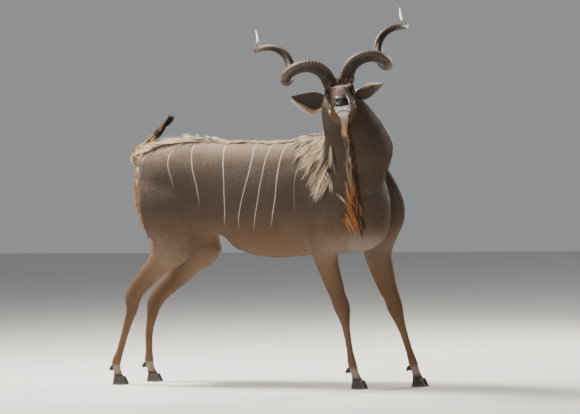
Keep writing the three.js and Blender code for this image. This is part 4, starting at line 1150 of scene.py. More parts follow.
def build_eye(name, side):
    centre = eye_centre(side)
    look, fore, up = eye_axes(side)
    angle = np.linspace(0.02, math.pi - 0.02, 40)
    radius = (EYE_RADIUS - 0.3) / 1000
    bulge = 1 + 0.05 * np.exp(-(angle / 0.55) ** 2)
    middle = centre + look * (np.cos(angle) * radius * bulge)[:, None]
    reach = np.repeat((np.sin(angle) * radius * bulge)[:, None], 4, axis=1)
    rings = sections(middle, fore, up, reach, 2, 48)
    eye = new_object(name, *loft_mesh(rings))
    face_outwards(eye.data)
    flat = (vertices_of(eye.data) - centre) / radius
    gaze = np.stack([flat @ fore, flat @ up, flat @ look], -1)
    store(eye.data, "gaze", gaze, "FLOAT_VECTOR")
    return eye


def eye_material(settings):
    material, tree = new_material("wet_eye")
    gaze = tree.attribute("gaze", "Vector")
    a, b, c = tree.parts(gaze)
    spread = (a * a + b * b) ** 0.5
    pupil = (1 - ((a / 0.36) ** 2.0 + (b / 0.16) ** 2.0).ramp(0.8, 1.1)) * c.ramp(0.0, 0.1)
    rays = tree.noise(gaze, 9.0, 4.0)
    iris = tree.mix(rays.ramp(0.3, 0.8), settings.iris, settings.dark)
    colour = tree.mix(spread.ramp(0.62, 0.72), iris, settings.dark)
    colour = tree.mix(pupil, colour, (0.004, 0.004, 0.006, 1.0))
    shade(tree, colour, 0.06, fixed={"Coat Weight": 1.0, "Coat Roughness": 0.03, "Specular IOR Level": 0.6})
    return material


def build_lids(side, name):
    """Rims of the lids round the open eye"""
    centre = eye_centre(side)
    look, fore, up = eye_axes(side)
    turn = np.linspace(0, 2 * math.pi, 72, endpoint=False)
    a = 18.5 * np.cos(turn)
    b = np.where(np.sin(turn) > 0, 11.5, 9.5) * np.sin(turn) + 1.0 - 2.0 * np.cos(turn)
    depth = np.sqrt(np.maximum((EYE_RADIUS + 0.6) ** 2 - a**2 - b**2, 4.0))
    path = a[:, None] * fore + b[:, None] * up + depth[:, None] * look
    run = unit(np.roll(path, -1, axis=0) - np.roll(path, 1, axis=0))
    out = unit(path)
    across = np.cross(run, out)
    thick = np.where(np.sin(turn) > 0, 3.4, 2.6)[:, None]
    reach = np.concatenate([thick * 0.8, thick * 0.8, thick * 1.25, thick * 1.25], axis=1)
    rings = sections(path, out, across, reach, 2, 12)
    rows, sides = rings.shape[:2]
    index = np.arange(rows * sides).reshape(rows, sides)
    right = np.roll(index, -1, axis=1)
    below = np.roll(index, -1, axis=0)
    faces = np.stack([index, right, np.roll(right, -1, axis=0), below], -1).reshape(-1, 4).tolist()
    lids = new_object(name, centre + rings.reshape(-1, 3) / 1000, faces)
    face_outwards(lids.data)
    return lids


def lid_material(settings):
    material, tree = new_material("dark_lid")
    grain = tree.noise(tree.place(), 700.0, 4.0)
    colour = tree.mix(grain, settings.dark, settings.face)
    shade(tree, colour, 0.45, grain, 0.0006)
    return material


def toe_rings(foot, yaw, side):
    left, front = foot_axes(yaw)
    z, fore, aft, share = fine_rows(TOE_ROWS, 6).T
    centre = np.array([foot[0] + 8, foot[1], 0]) + z[:, None] * UP + left * side * TOE_SPACING
    half = (TOE_HALF * share)[:, None]
    inner = np.full_like(half, TOE_HALF - 0.4)
    across = (half, inner) if side > 0 else (inner, half)
    ridge = 0.35 * np.sin(z / 1.9)[:, None]
    reach = np.concatenate([fore[:, None] + ridge, aft[:, None] + ridge, *across], axis=1)
    return sections(centre, front, left, reach, 2.3, 40)


def dewclaw_rings(rows, yaw, side):
    x, y, z, _, aft = rows[-3][:5]
    left, front = foot_axes(yaw)
    table = [[-16, DEWCLAW_DROP - 16, 9], [-4, DEWCLAW_DROP, 10], [2, DEWCLAW_DROP + 16, 5]]
    back, drop, reach = fine_rows(table, 6).T
    centre = np.array([x, y, z]) - UP * drop[:, None] - front * (aft + back)[:, None] + left * side * 13
    return sections(centre, front, left, np.repeat(reach[:, None], 4, axis=1), 2, 24)


def hoof_material(settings):
    material, tree = new_material("hoof_horn")
    place = tree.place()
    _, _, z = tree.parts(place)
    bands = {"Vector": place, "Scale": 90.0, "Distortion": 1.5}
    rings = tree.node("ShaderNodeTexWave", {"bands_direction": "Z"}, bands)
    grain = tree.noise(tree.vector("MULTIPLY", place, (1.0, 1.0, 0.2)), 500.0, 4.0, 0.7)
    dust = (1 - z.ramp(0.0, 0.02)) * grain.ramp(0.35, 0.65) * 0.6
    colour = tree.mix(grain.ramp(0.3, 0.8), settings.hoof, settings.dark)
    colour = tree.mix(dust, colour, settings.back)
    shade(tree, colour, 0.5 + grain * 0.2, rings + grain, 0.0006)
    return material


# Size of a hair's patch on the bake map, how far a tuft's way strays, and how far its root is sunk
PATCH_SIZE, TUFT_JITTER, TUFT_SUNK = 0.003, 0.08, 0.0012

# A lock of hair: the place and way out of the skin it grows from, its length in metres, the way it lies,
# how far its tip stands off the body, and the way it droops
Guide = namedtuple("Guide", "root out length lie rise droop")


class Body:
    """A finished skin, asked for places on it"""

    def __init__(self, obj):
        polygons = [tuple(p.vertices) for p in obj.data.polygons]
        self.tree = BVHTree.FromPolygons(vertices_of(obj.data).tolist(), polygons)
        self.patch = read(obj.data, "patch")
        self.first = [p[0] for p in polygons]

    def land(self, point, out):
        """The place on the skin under a point, looking in against a way out of it"""
        hit, normal, index, _ = self.tree.ray_cast(Vector(point + out * 0.04), Vector(-out), 0.15)
        if hit is None:
            hit, normal, index, _ = self.tree.find_nearest(Vector(point))
        return np.array(hit), np.array(normal), self.patch[self.first[index]]


def lay_locks(body, guides, seed, strands, spread, thick, points=6, draw=(0.3, 0.7), sunk=0.004):
    """Strands in locks that set out from the skin, droop, lie on the body and draw together"""
    rng = np.random.default_rng(seed)
    steps = np.linspace(0, 1, points)
    places, radii, tones, lengths, patches = [], [], [], [], []
    for guide in guides:
        root, normal, _ = body.land(guide.root, guide.out)
        lie = unit(guide.lie)
        across = unit(np.cross(lie, normal))
        tone = rng.uniform(0.1, 0.9)
        bow = rng.normal(0, 0.07)
        for _ in range(strands):
            offset = rng.normal(0, 1, 2) * spread
            start, start_normal, patch = body.land(root + across * offset[0] + lie * offset[1], normal)
            length = guide.length * rng.uniform(0.6, 1.08)
            gather = rng.uniform(*draw)
            bend = across * (bow + rng.normal(0, 0.04)) * length
            rise = guide.rise * rng.uniform(0.3, 1.2)
            at = start.copy()
            before = 0.0
            line = []
            for s in steps:
                way = unit(lie + guide.droop * s + start_normal * 0.1)
                at = at + way * length * (s - before)
                before = s
                place = at + bend * s * s - across * offset[0] * gather * s
                wanted = -sunk if s == 0 else 0.002 + rise * s
                hit = body.tree.ray_cast(Vector(place + normal * 0.05), Vector(-normal), 0.1)[0]
                if hit is not None:
                    short = wanted - float(np.dot(place - np.array(hit), normal))
                    if short > 0 or s == 0:
                        place = place + normal * short
                line.append(place)
            places.append(line)
            width = thick * rng.uniform(0.7, 1.2)
            radii.append(width * (1 - 0.88 * steps**1.6))
            tones.append(np.full(points, np.clip(tone + rng.normal(0, 0.12), 0, 1)))
            lengths.append(steps)
            patches.append(np.repeat(patch[None], points, axis=0))
    columns = {"points": places, "thick": radii, "tone": tones, "along": lengths, "patch": patches}
    return {name: np.array(column) for name, column in columns.items()}


def new_tree(name, inputs):
    """A geometry node group: its tree, and the sockets of its named inputs"""
    group = bpy.data.node_groups.new(name, "GeometryNodeTree")
    for label, kind in inputs:
        group.interface.new_socket(label, in_out="INPUT", socket_type="NodeSocket" + kind)
    group.interface.new_socket("Hair", in_out="OUTPUT", socket_type="NodeSocketGeometry")
    tree = Tree(group)
    entry = group.nodes.new("NodeGroupInput")
    return group, tree, [Value(tree, entry.outputs[i]) for i in range(len(inputs))]


def end_tree(group, tree, hair, across, length, material):
    """Makes the hair real, with its material and its bake map: a small patch at the root's place"""
    hair = tree.node("GeometryNodeRealizeInstances", None, [hair])
    small = tree.joined(tree.named(across) * PATCH_SIZE, tree.named(length) * PATCH_SIZE)
    place = tree.vector("ADD", tree.named("patch", "FLOAT_VECTOR"), small)
    hair = tree.stored(hair, "OFBake", place, {"data_type": "FLOAT2", "domain": "CORNER"})
    hair = tree.node("GeometryNodeSetMaterial", None, {"Geometry": hair, "Material": material})
    group.links.new(hair.socket, group.nodes.new("NodeGroupOutput").inputs[0])
    return group


def strand_tree():
    """Tree that turns strands of edges into tapered solid hairs"""
    inputs = (("Strands", "Geometry"), ("Sides", "Int"), ("Material", "Material"))
    group, tree, (strands, sides, material) = new_tree("strands", inputs)
    curve = tree.node("GeometryNodeMeshToCurve", None, [strands])
    ring = tree.node("GeometryNodeCurvePrimitiveCircle", None, {"Resolution": sides, "Radius": 1.0})
    ring = tree.stored(ring, "around", tree.node("GeometryNodeSplineParameter"))
    shape = {"Curve": curve, "Profile Curve": ring, "Scale": tree.named("thick"), "Fill Caps": True}
    hair = tree.node("GeometryNodeCurveToMesh", None, shape)
    return end_tree(group, tree, hair, "around", "along", material)


def tuft_tree():
    """Tree that scatters small tapered tufts over the skin, along the lie of the coat"""
    inputs = (("Skin", "Geometry"), ("Density", "Float"), ("Length", "Float"), ("Width", "Float"),
              ("Seed", "Int"), ("Material", "Material"))
    group, tree, (skin, density, length, width, seed, material) = new_tree("tufts", inputs)
    spread = {"Mesh": skin, "Density": density * tree.named("cover"), "Seed": seed}
    points = tree.node("GeometryNodeDistributePointsOnFaces", None, spread)
    normal = Value(tree, points.socket.node.outputs["Normal"])
    points = tree.stored(points, "tone", tree.random(0.0, 1.0, seed + 1.0))
    jitter = {0: (-TUFT_JITTER,) * 3, 1: (TUFT_JITTER,) * 3, "Seed": seed + 2.0}
    jitter = tree.node("FunctionNodeRandomValue", {"data_type": "FLOAT_VECTOR"}, jitter)
    way = tree.vector("ADD", tree.named("lie", "FLOAT_VECTOR"), tree.scaled(normal, tree.named("lift")))
    way = tree.vector("ADD", way, jitter)
    axes = {"primary_axis": "Z", "secondary_axis": "Y"}
    turn = tree.node("FunctionNodeAxesToRotation", axes, [way, normal])
    shape = {"Vertices": 3, "Radius Top": 0.0, "Radius Bottom": 0.5, "Depth": 1.0}
    cone = tree.node("GeometryNodeMeshCone", None, shape)
    px, _, pz = tree.parts(tree.node("GeometryNodeInputPosition"))
    cone = tree.stored(cone, "tuft_across", px + 0.5)
    cone = tree.stored(cone, "tuft_along", pz)
    size = tree.named("size")
    across = width * size * tree.random(0.7, 1.3, seed + 3.0)
    scale = tree.joined(across, across * 0.5, length * size * tree.random(0.65, 1.25, seed + 4.0))
    sunk = tree.scaled(normal, -TUFT_SUNK)
    points = tree.node("GeometryNodeSetPosition", None, {"Geometry": points, "Offset": sunk})
    copies = {"Points": points, "Instance": cone, "Rotation": turn, "Scale": scale}
    tufts = tree.node("GeometryNodeInstanceOnPoints", None, copies)
    return end_tree(group, tree, tufts, "tuft_across", "tuft_along", material)


def set_inputs(modifier, **values):
    """Sets a Geometry Nodes modifier's inputs by their sockets' identifiers"""
    for item in modifier.node_group.interface.items_tree:
        if item.in_out == "INPUT" and item.name.lower() in values:
            modifier[item.identifier] = values[item.name.lower()]


def strand_piece(name, hairs, material, sides=3):
    """One mesh of solid hairs from rows of points"""
    count, points = hairs["thick"].shape
    index = np.arange(count * points).reshape(count, points)
    edges = np.stack([index[:, :-1], index[:, 1:]], -1).reshape(-1, 2).tolist()
    obj = new_object(name, hairs["points"].reshape(-1, 3), [], edges)
    for key in ("thick", "tone", "along"):
        store(obj.data, key, hairs[key])
    store(obj.data, "patch", hairs["patch"], "FLOAT_VECTOR")
    modifier = obj.modifiers.new("strands", "NODES")
    modifier.node_group = bpy.data.node_groups.get("strands") or strand_tree()
    set_inputs(modifier, sides=sides, material=material)
    return applied(obj, name)


def hair_piece(name, material, *laid, **how):
    """Lays locks and finishes them as one piece of long hair"""
    finish_piece(strand_piece(name, lay_locks(*laid, **how), material), "hair")


def trunk_place(x, turn, side):
    """A place on the trunk, and the way out: turn is 0 at the back line, 90 halfway down the flank"""
    table = np.array(TRUNK, float)
    i = min(len(table) - 2, max(0, int(np.searchsorted(table[:, 0], x)) - 1))
    step = table[i + 1, 0] - table[i, 0]
    _, top, low, half, wide, power = rows_at(TRUNK, i + (x - table[i, 0]) / step)[0]
    at, left = spine_at(x)
    c = math.cos(math.radians(90 - turn)) ** (2 / power) * side
    s = math.sin(math.radians(90 - turn))
    b = math.copysign(abs(s) ** (2 / power), s)
    reach = top - wide if s > 0 else wide - low
    point = at[0] + wide * UP + left[0] * c * half + UP * b * reach
    return to_frame(point), unit(left[0] * c / half + UP * b / reach)


def neck_place(place, turn, side):
    """A place on the neck, and the way out: turn is 0 at the throat and 180 at the nape"""
    row = rows_at(NECK, place)
    throat, left = (axis[0] for axis in neck_axes(row))
    x, y, z, _, _, front, back, half = row[0]
    c, s = math.cos(math.radians(turn)), math.sin(math.radians(turn)) * side
    reach = front if c > 0 else back
    point = np.array([x, y, z]) + throat * c * reach + left * s * half
    return to_frame(point), unit(throat * c / reach + left * s / half)


def spine_ways(x, side):
    _, left = spine_at(x)
    return -np.cross(left[0], UP), left[0] * side


# Lengths of the hair in millimetres: of the crest from the rump to the withers, and of the throat's fringe
# downwards
CREST_LENGTHS = [70, 120, 125, 84, 60, 56, 60, 84]
FRINGE_LENGTHS = [24, 30, 42, 66, 108, 130, 110]

# Tiers of the mane: on the trunk, how far down the side, from where to where, locks and their length in
# metres; on the neck, how far round from the throat, locks and their length
MANE_TIERS = [(8, 250, 640, 36, 0.10), (20, 300, 640, 32, 0.14), (36, 360, 630, 30, 0.17),
              (50, 420, 625, 26, 0.18), (62, 500, 620, 14, 0.19)]
NAPE_TIERS = [(174, 24, 0.13), (156, 20, 0.15), (138, 14, 0.13)]


def length_at(lengths, t):
    """A table of lengths in millimetres read at a place from 0 to 1, in metres"""
    return along(lengths, np.array([t]))[0] / 1000


def spaced(rng, count):
    """Places from 0 to 1, one somewhere in each of so many equal stretches"""
    for i in range(count):
        yield (i + rng.uniform(0, 1)) / count


def crest_guides(rng):
    guides = []
    for t in spaced(rng, 170):
        x = -700 + 1140 * t
        side = 1 if rng.uniform() < 0.34 else -1
        long = float(smooth_step(0.45 - t, 0.0, 0.2))
        root, out = trunk_place(x, rng.uniform(1, 9 + 8 * long), side)
        rear, aside = spine_ways(x, side)
        length = length_at(CREST_LENGTHS, t) * rng.uniform(0.7, 1.15)
        lie = rear * 0.9 + aside * rng.uniform(0.1, 0.6)
        rise = rng.uniform(0.004, 0.018 + 0.034 * long)
        guides.append(Guide(root, out, length, lie, rise, DOWN * 0.1 + aside * 0.2))
    return guides


def mane_guides(rng):
    guides = []
    for side in (1, -1):
        for turn, start, end, count, reach in MANE_TIERS:
            for t in spaced(rng, count):
                x = start + (end - start) * t
                root, out = trunk_place(x, turn + rng.uniform(-5, 5), side)
                rear, aside = spine_ways(x, side)
                length = reach * (0.4 + 0.8 * t) * rng.uniform(0.75, 1.15)
                lie = rear * 0.4 + DOWN * 0.85 + aside * 0.15
                guides.append(Guide(root, out, length, lie, rng.uniform(0.005, 0.018), DOWN * 0.15))
        for turn, count, reach in NAPE_TIERS:
            for t in spaced(rng, count):
                place = 2.1 + 2.9 * t
                root, out = neck_place(place, turn + rng.uniform(-6, 6), side)
                throat, left = (axis[0] for axis in neck_axes(rows_at(NECK, place)))
                length = reach * rng.uniform(0.7, 1.15)
                lie = DOWN * 0.9 + throat * 0.1 + left * 0.3 * side
                guides.append(Guide(root, out, length, lie, rng.uniform(0.004, 0.014), DOWN * 0.12))
    return guides


# Pale locks on the near side of the neck: root, how the lock runs, and its length in metres
NECK_LOCKS = [
    ((592, -275, 1338), (-23, 26, -137), 0.135),
    ((597, -283, 1322), (20, 12, -140), 0.130),
    ((588, -277, 1330), (-6, 22, -138), 0.10),
    ((498, -221, 1207), (74, -56, -64), 0.11),
    ((560, -262, 1152), (36, 30, -78), 0.10),
    ((606, -246, 1075), (50, 4, -56), 0.08),
]


def neck_lock_guides(rng):
    guides = []
    for root, way, length in NECK_LOCKS:
        for _ in range(2):
            near = to_frame(np.array(root, float) + rng.normal(0, 4, 3))
            size = length * rng.uniform(0.9, 1.1)
            guides.append(Guide(near, unit([-0.25, -1.0, 0.1]), size, unit(way), 0.006, DOWN * 0.05))
    return guides


def fringe_guides(rng, side):
    """Hair of the throat on one side of its middle line, longest above the chest"""
    guides = []
    for t in spaced(rng, 66):
        wide = 4 + (18 if side < 0 else 7) * t
        root, out = neck_place(3.95 - 3.7 * t, rng.uniform(0, wide), side)
        ahead = unit(neck_place(max(0.1, 3.7 - 3.7 * t), 4, side)[0] - root)
        length = length_at(FRINGE_LENGTHS, t) * rng.uniform(0.75, 1.15)
        lie = DOWN * 0.7 + ahead * 0.4 + np.array([0.34 * t, 0, 0])
        rise = rng.uniform(0.004, 0.01 + 0.024 * t)
        guides.append(Guide(root, out, length, lie, rise, DOWN * 0.2 + out * 0.04))
    return guides


def beard_guides(rng):
    """Hair of the chin, longest in the middle"""
    guides = []
    for _ in range(24):
        x, y = rng.uniform(146, 206), rng.uniform(-19, 19)
        root = to_frame(from_head((x, 3 + y, -132)))
        out = unit(np.array([0.1, 0.01 * y, -1.0]) @ HEAD_AXES)
        length = (0.135 - abs(y) * 0.0042) * rng.uniform(0.8, 1.05)
        guides.append(Guide(root, out, length, unit(DOWN - HEAD_AXES[1] * y / 90), 0.0, DOWN * 0.1))
    return guides


def poll_guides(rng):
    """Tufts round the foot of each horn, on the brow and between the horns"""
    guides = []
    crown = HEAD_AXES[2]
    for side in SIDES.values():
        at, run, out, across = (v[0] for v in horn_place(np.array([0.0]), side))
        for t in spaced(rng, 26):
            turn = 2 * math.pi * t
            way = out * math.cos(turn) + across * math.sin(turn)
            foot = to_frame(from_head(at - run * 20 + way * HORN_THICK[0] * 1.05))
            lie = unit((run + way * 0.25) @ HEAD_AXES)
            size = rng.uniform(0.022, 0.04)
            guides.append(Guide(foot, unit(way @ HEAD_AXES), size, lie, 0.003, DOWN * 0.1))
        for _ in range(14):
            brow = to_frame(from_head((rng.uniform(-30, 16), side * rng.uniform(44, 72), 44.0)))
            lie = unit(np.array([-0.9, side * 0.5, 0.1]) @ HEAD_AXES)
            guides.append(Guide(brow, crown, rng.uniform(0.014, 0.024), lie, 0.004, DOWN * 0.2))
    for _ in range(22):
        x, y = rng.uniform(-92, -44), rng.uniform(-22, 22)
        lie = unit(np.array([0.5, y * 0.02, 0.7]) @ HEAD_AXES)
        poll = to_frame(from_head((x, y, 74.0)))
        guides.append(Guide(poll, crown, rng.uniform(0.03, 0.05), lie, 0.006, DOWN * 0.5))
    return guides


def tail_guides(rng, start, end, count, spread, lengths, slant):
    """Hair of the tail between two places along it, fanned about its outer side"""
    guides = []
    for t in spaced(rng, count):
        centre, run, out, half = (v[0] for v in tail_place(np.array([start + (end - start) * t])))
        turn = rng.normal(0, spread)
        way = out * math.cos(math.radians(turn)) + ACROSS * math.sin(math.radians(turn))
        length = length_at(lengths, t) * rng.uniform(0.8, 1.15)
        lie = run + way * slant * rng.uniform(0.5, 1.2)
        root = to_frame(centre + way * half[0])
        guides.append(Guide(root, way, length, lie, rng.uniform(0.004, 0.014), way * -0.15))
    return guides


def rump_guides(rng):
    """Hair down the rear edge of both thighs"""
    guides = []
    for side in (1, -1):
        for t in spaced(rng, 96):
            root = to_frame((-730 + 110 * t * t, side * rng.uniform(20, 70 + 70 * t), 1225 - 470 * t))
            lie = DOWN * 0.8 + np.array([-0.62, side * 0.1, 0])
            length, rise = rng.uniform(0.042, 0.066), rng.uniform(0.01, 0.03)
            guides.append(Guide(root, unit([-1.0, side * 0.3, 0.0]), length, lie, rise, DOWN * 0.5))
    return guides


def length_property(name, description, value, low, high):
    return bpy.props.FloatProperty(
        name=name, description=description, default=value, min=low, max=high,
        subtype="DISTANCE", unit="LENGTH")


class KuduSizes(bpy.types.PropertyGroup):
    coat_depth: length_property("Coat depth", "How far the skin lies in under the coat", 0.005, 0.0, 0.02)
    skin_grain: length_property("Skin grain", "Size of the skin's faces on the body", 0.0092, 0.004, 0.02)
    tuft_length: length_property("Tuft length", "Length of a tuft of the flank", 0.019, 0.004, 0.06)
    tuft_width: length_property("Tuft width", "Width of a tuft of the flank", 0.0034, 0.001, 0.02)
    tuft_share: bpy.props.FloatProperty(
        name="Tuft share", description="Share of the full number of tufts",
        default=1.0, min=0.05, max=1.0, subtype="FACTOR")


def colour_property(name, description, value):
    return bpy.props.FloatVectorProperty(
        name=name, description=description, default=(*value, 1.0),
        size=4, min=0.0, max=1.0, subtype="COLOR")


class KuduColours(bpy.types.PropertyGroup):
    # Coat: grey-brown, darkened to the shade on the flank: partly the coat's own colour, partly painted
    # shade
    coat: colour_property("Coat", "Grey-brown of the flank", (0.072, 0.052, 0.039))
    # Back: painted sunlight along the top of the body; elsewhere the pale tint of the poll tufts, the upper
    # throat fringe, the ear hair and the dust on the hooves
    back: colour_property("Back", "Paler coat along the back", (0.30, 0.22, 0.155))
    belly: colour_property("Belly", "Warmer coat of the belly", (0.150, 0.084, 0.044))
    leg: colour_property("Leg", "Tawny coat of the legs", (0.135, 0.078, 0.043))
    # Neck: brown, darkened to the shade on the neck: partly the coat's own colour, partly painted shade
    neck: colour_property("Neck", "Browner coat of the neck", (0.068, 0.047, 0.034))
    face: colour_property("Face", "Dark brown coat of the face", (0.056, 0.034, 0.022))
    stripe: colour_property("Stripe", "White of the stripes", (0.42, 0.38, 0.33))
    # White: also the faint painted highlight along the top of the nose bridge
    white: colour_property("White", "White of the lips, chevron and spots", (0.72, 0.67, 0.60))
    # Dark: also the painted shade round the eyes, along the mouth and in the grooves of the horns
    dark: colour_property("Dark", "Near black of the nose and lid rims", (0.014, 0.011, 0.010))
    cream: colour_property("Cream", "Cream of the mane and crest", (0.84, 0.68, 0.48))
    tan: colour_property("Tan", "Tan of the beard", (0.52, 0.33, 0.18))
    umber: colour_property("Umber", "Dark brown among the long hair", (0.060, 0.036, 0.024))
    orange: colour_property("Orange", "Orange-brown of the throat fringe and tail", (0.38, 0.155, 0.050))
    ear_inside: colour_property("Ear inside", "Grey of the cup of the ear", (0.034, 0.026, 0.022))
    horn: colour_property("Horn", "Dark brown of the horn", (0.024, 0.016, 0.011))
    horn_keel: colour_property("Horn keel", "Worn brown of the keel", (0.110, 0.074, 0.048))
    horn_tip: colour_property("Horn tip", "Ivory of the tips", (0.78, 0.72, 0.60))
    hoof: colour_property("Hoof", "Grey-black of the hooves", (0.040, 0.032, 0.028))
    iris: colour_property("Iris", "Brown of the eye", (0.045, 0.020, 0.010))
    floor: colour_property("Floor", "Pale floor", (0.62, 0.61, 0.59))


class Settings:
    """Sizes and colours together, with colours as plain tuples for the node sockets"""

    def __init__(self, scene):
        self.sizes = scene.kudu_sizes
        self.colours = scene.kudu_colours

    def __getattr__(self, name):
        if name in KuduColours.__annotations__:
            return tuple(getattr(self.colours, name))
        return getattr(self.sizes, name)


def need(name):
    """An object that an earlier step has built"""
    obj = bpy.data.objects.get(name)
    if obj is None:
        raise RuntimeError(f"{name} has to be built first")
    return obj


class KUDU_OT_skin(bpy.types.Operator):
    """Builds one skin over the head, neck, trunk, tail and legs"""
    bl_idname = "kudu.skin"
    bl_label = "Skin"

    def execute(self, context):
        skin = build_skin(Settings(context.scene))
        finish_piece(skin, "coat", *FLESH)
        return {"FINISHED"}


# Short coat: piece, seed, number of tufts, their size, the part of the body, and its side if only one
COATS = [
    ("coat_flanks_near", 11, 36000, 1.0, "trunk", -1),
    ("coat_flanks_far", 12, 36000, 1.0, "trunk", 1),
    ("coat_neck", 13, 35000, 0.85, "neck", 0),
    ("coat_face", 14, 36000, 0.34, "head", 0),
    ("coat_legs", 15, 34000, 0.6, "legs", 0),
]


def coat_cover(mesh, region, side):
    """Where a coat piece grows on the skin"""
    names = ("head_part", "neck_part", "leg_part", "root", "face")
    head, neck, leg, root, face = (read(mesh, name) for name in names)
    x, y, z = face.T
    bare = smooth_step(x, 210, 222) * (z < -50) * (z > -108) * (np.abs(y) < 42) * (head > 0.5)
    for sign in SIDES.values():
        eye = np.linalg.norm(face - np.array([EYE_AT[0], sign * EYE_AT[1], EYE_AT[2]]), axis=1)
        bare = np.maximum(bare, eye < 27)
    mouth = (np.abs(z + 118) < 4) & (x > 130)
    bare = np.maximum(bare, mouth * (head > 0.5))
    spine = spine_at((root[:, 0] - SHIFT[0]) * 1000)[0][:, 1] / 1000 + SHIFT[1]
    on_side = (root[:, 1] - spine) * side >= 0 if side else np.ones(len(root), bool)
    region_of = np.select([head > 0.5, neck > 0.5, leg > 0.5], [1, 2, 3], 0)
    wanted = {"trunk": 0, "head": 1, "neck": 2, "legs": 3}[region]
    return (region_of == wanted) * on_side * (1 - bare)


def area_of(mesh, cover):
    """Area of the skin that a piece covers, in square metres"""
    areas = np.empty(len(mesh.polygons))
    mesh.polygons.foreach_get("area", areas)
    first = np.array([p.vertices[0] for p in mesh.polygons])
    return float((areas * cover[first]).sum())


class KUDU_OT_coat(bpy.types.Operator):
    """Lays short tufts over the skin, along the lie of the coat"""
    bl_idname = "kudu.coat"
    bl_label = "Short coat"

    def execute(self, context):
        settings = Settings(context.scene)
        skin = need("skin")
        material = tuft_material(settings)
        group = tuft_tree()
        for name, seed, count, size, region, side in COATS:
            obj = bpy.data.objects.new(name, skin.data.copy())
            context.scene.collection.objects.link(obj)
            mesh = obj.data
            cover = coat_cover(mesh, region, side)
            small = np.full(len(cover), size)
            if region == "head":
                small *= 1.25 - 0.5 * smooth_step(read(mesh, "face")[:, 0], 60, 200)
            elif region == "legs":
                small *= 0.62 + 0.5 * smooth_step(vertices_of(mesh)[:, 2], 0.1, 0.6)
            store(mesh, "cover", cover)
            store(mesh, "size", small)
            store(mesh, "lift", np.full(len(cover), 0.1 if region in ("trunk", "neck") else 0.14))
            modifier = obj.modifiers.new("tufts", "NODES")
            modifier.node_group = group
            density = count * settings.tuft_share / area_of(mesh, cover)
            set_inputs(modifier, density=density, length=settings.tuft_length,
                       width=settings.tuft_width, seed=seed, material=material)
            finish_piece(applied(obj, name), "coat")
        return {"FINISHED"}


class KUDU_OT_mane(bpy.types.Operator):
    """Lays the mane of the withers and nape, and the crest along the back"""
    bl_idname = "kudu.mane"
    bl_label = "Mane and crest"

    def execute(self, context):
        settings = Settings(context.scene)
        body = Body(need("skin"))
        rng = np.random.default_rng(5)
        cream = hair_material("cream_hair", settings.coat, settings.cream, settings.umber, 0.4)
        hair_piece("mane", cream, body, mane_guides(rng), 6, 13, 0.0085, 0.0012, draw=(0.6, 1.0))
        hair_piece("crest", cream, body, crest_guides(rng), 7, 23, 0.007, 0.0011, draw=(0.4, 0.9))
        hair_piece("neck_locks", cream, body, neck_lock_guides(rng), 18, 34, 0.006, 0.0009, draw=(0.6, 1.0))
        tan = hair_material("poll_hair", settings.face, settings.back, settings.umber, 0.3)
        hair_piece("poll_tufts", tan, body, poll_guides(rng), 19, 16, 0.004, 0.0007, 5, draw=(0.4, 0.9))
        return {"FINISHED"}


class KUDU_OT_fringe(bpy.types.Operator):
    """Hangs the throat fringe and the beard"""
    bl_idname = "kudu.fringe"
    bl_label = "Throat fringe and beard"

    def execute(self, context):
        settings = Settings(context.scene)
        body = Body(need("skin"))
        rng = np.random.default_rng(8)
        umber = settings.umber
        # The same fringe is a bright orange copy on the near side and a dark copy on the far side: painted
        # light on the near side, painted shade on the far side
        orange = hair_material("throat_hair", umber, settings.orange, settings.cream, 0.1, settings.back)
        shade_hair = hair_material("throat_hair_dark", umber, settings.face, settings.orange, 0.3)
        for word, material, side, seed in (("near", orange, -1, 9), ("far", shade_hair, 1, 20)):
            guides = fringe_guides(rng, side)
            name = "throat_fringe_" + word
            hair_piece(name, material, body, guides, seed, 22, 0.005, 0.0012, draw=(0.5, 1.0))
        tan = hair_material("beard_hair", settings.white, settings.tan, umber, 0.14)
        hair_piece("beard", tan, body, beard_guides(rng), 10, 26, 0.005, 0.0009, draw=(0.6, 1.0))
        return {"FINISHED"}


class KUDU_OT_tail_hair(bpy.types.Operator):
    """Lays the hair of the tail and of the rump's rear edge"""
    bl_idname = "kudu.tail_hair"
    bl_label = "Tail and rump hair"

    def execute(self, context):
        settings = Settings(context.scene)
        body = Body(need("skin"))
        rng = np.random.default_rng(12)
        pale = hair_material("tail_cover_hair", settings.tan, settings.cream, settings.umber, 0.15)
        rump = hair_material("rump_hair", settings.cream, settings.orange, settings.umber, 0.15)
        orange = hair_material("tail_hair", settings.umber, settings.orange, settings.cream, 0.2)
        black = hair_material("tail_tuft_hair", settings.umber, settings.dark, settings.orange, 0.1)
        pieces = [
            ("tail_fringe", orange, tail_guides(rng, 0.6, 6.4, 110, 26, [26, 34, 44, 52, 56], 0.26), 26),
            ("tail_cover", pale, tail_guides(rng, 1.0, 5.2, 70, 140, [30, 38, 42, 36], 0.12), 22),
            ("tail_tuft", black, tail_guides(rng, 4.6, 6.9, 56, 100, [40, 56, 66], 0.26), 34),
            ("rump_fringe", rump, rump_guides(rng), 15),
        ]
        for seed, (name, material, guides, strands) in enumerate(pieces, 13):
            hair_piece(name, material, body, guides, seed, strands, 0.006, 0.001, draw=(0.4, 0.9))
        return {"FINISHED"}


def ear_guides(ear, rng):
    """Hair along the rim and in the cup of an ear"""
    mesh = ear.data
    points, normals = vertices_of(mesh), normals_of(mesh)
    inside, edge, length, lit = (read(mesh, name) for name in ("inside", "edge", "along", "lit_edge"))
    wanted = (inside > 0.5) & (edge > 0.6) & (length > 0.08) & (length < 0.93) & (lit > 0.5)
    tip = unit(points[length > 0.98].mean(axis=0) - points[length < 0.05].mean(axis=0))
    guides = []
    for i in rng.choice(np.flatnonzero(wanted), 80):
        lie = tip * 0.7 + DOWN * 0.5 + normals[i] * 0.3
        guides.append(Guide(points[i], normals[i], rng.uniform(0.012, 0.024), lie, 0.003, DOWN * 0.3))
    return guides


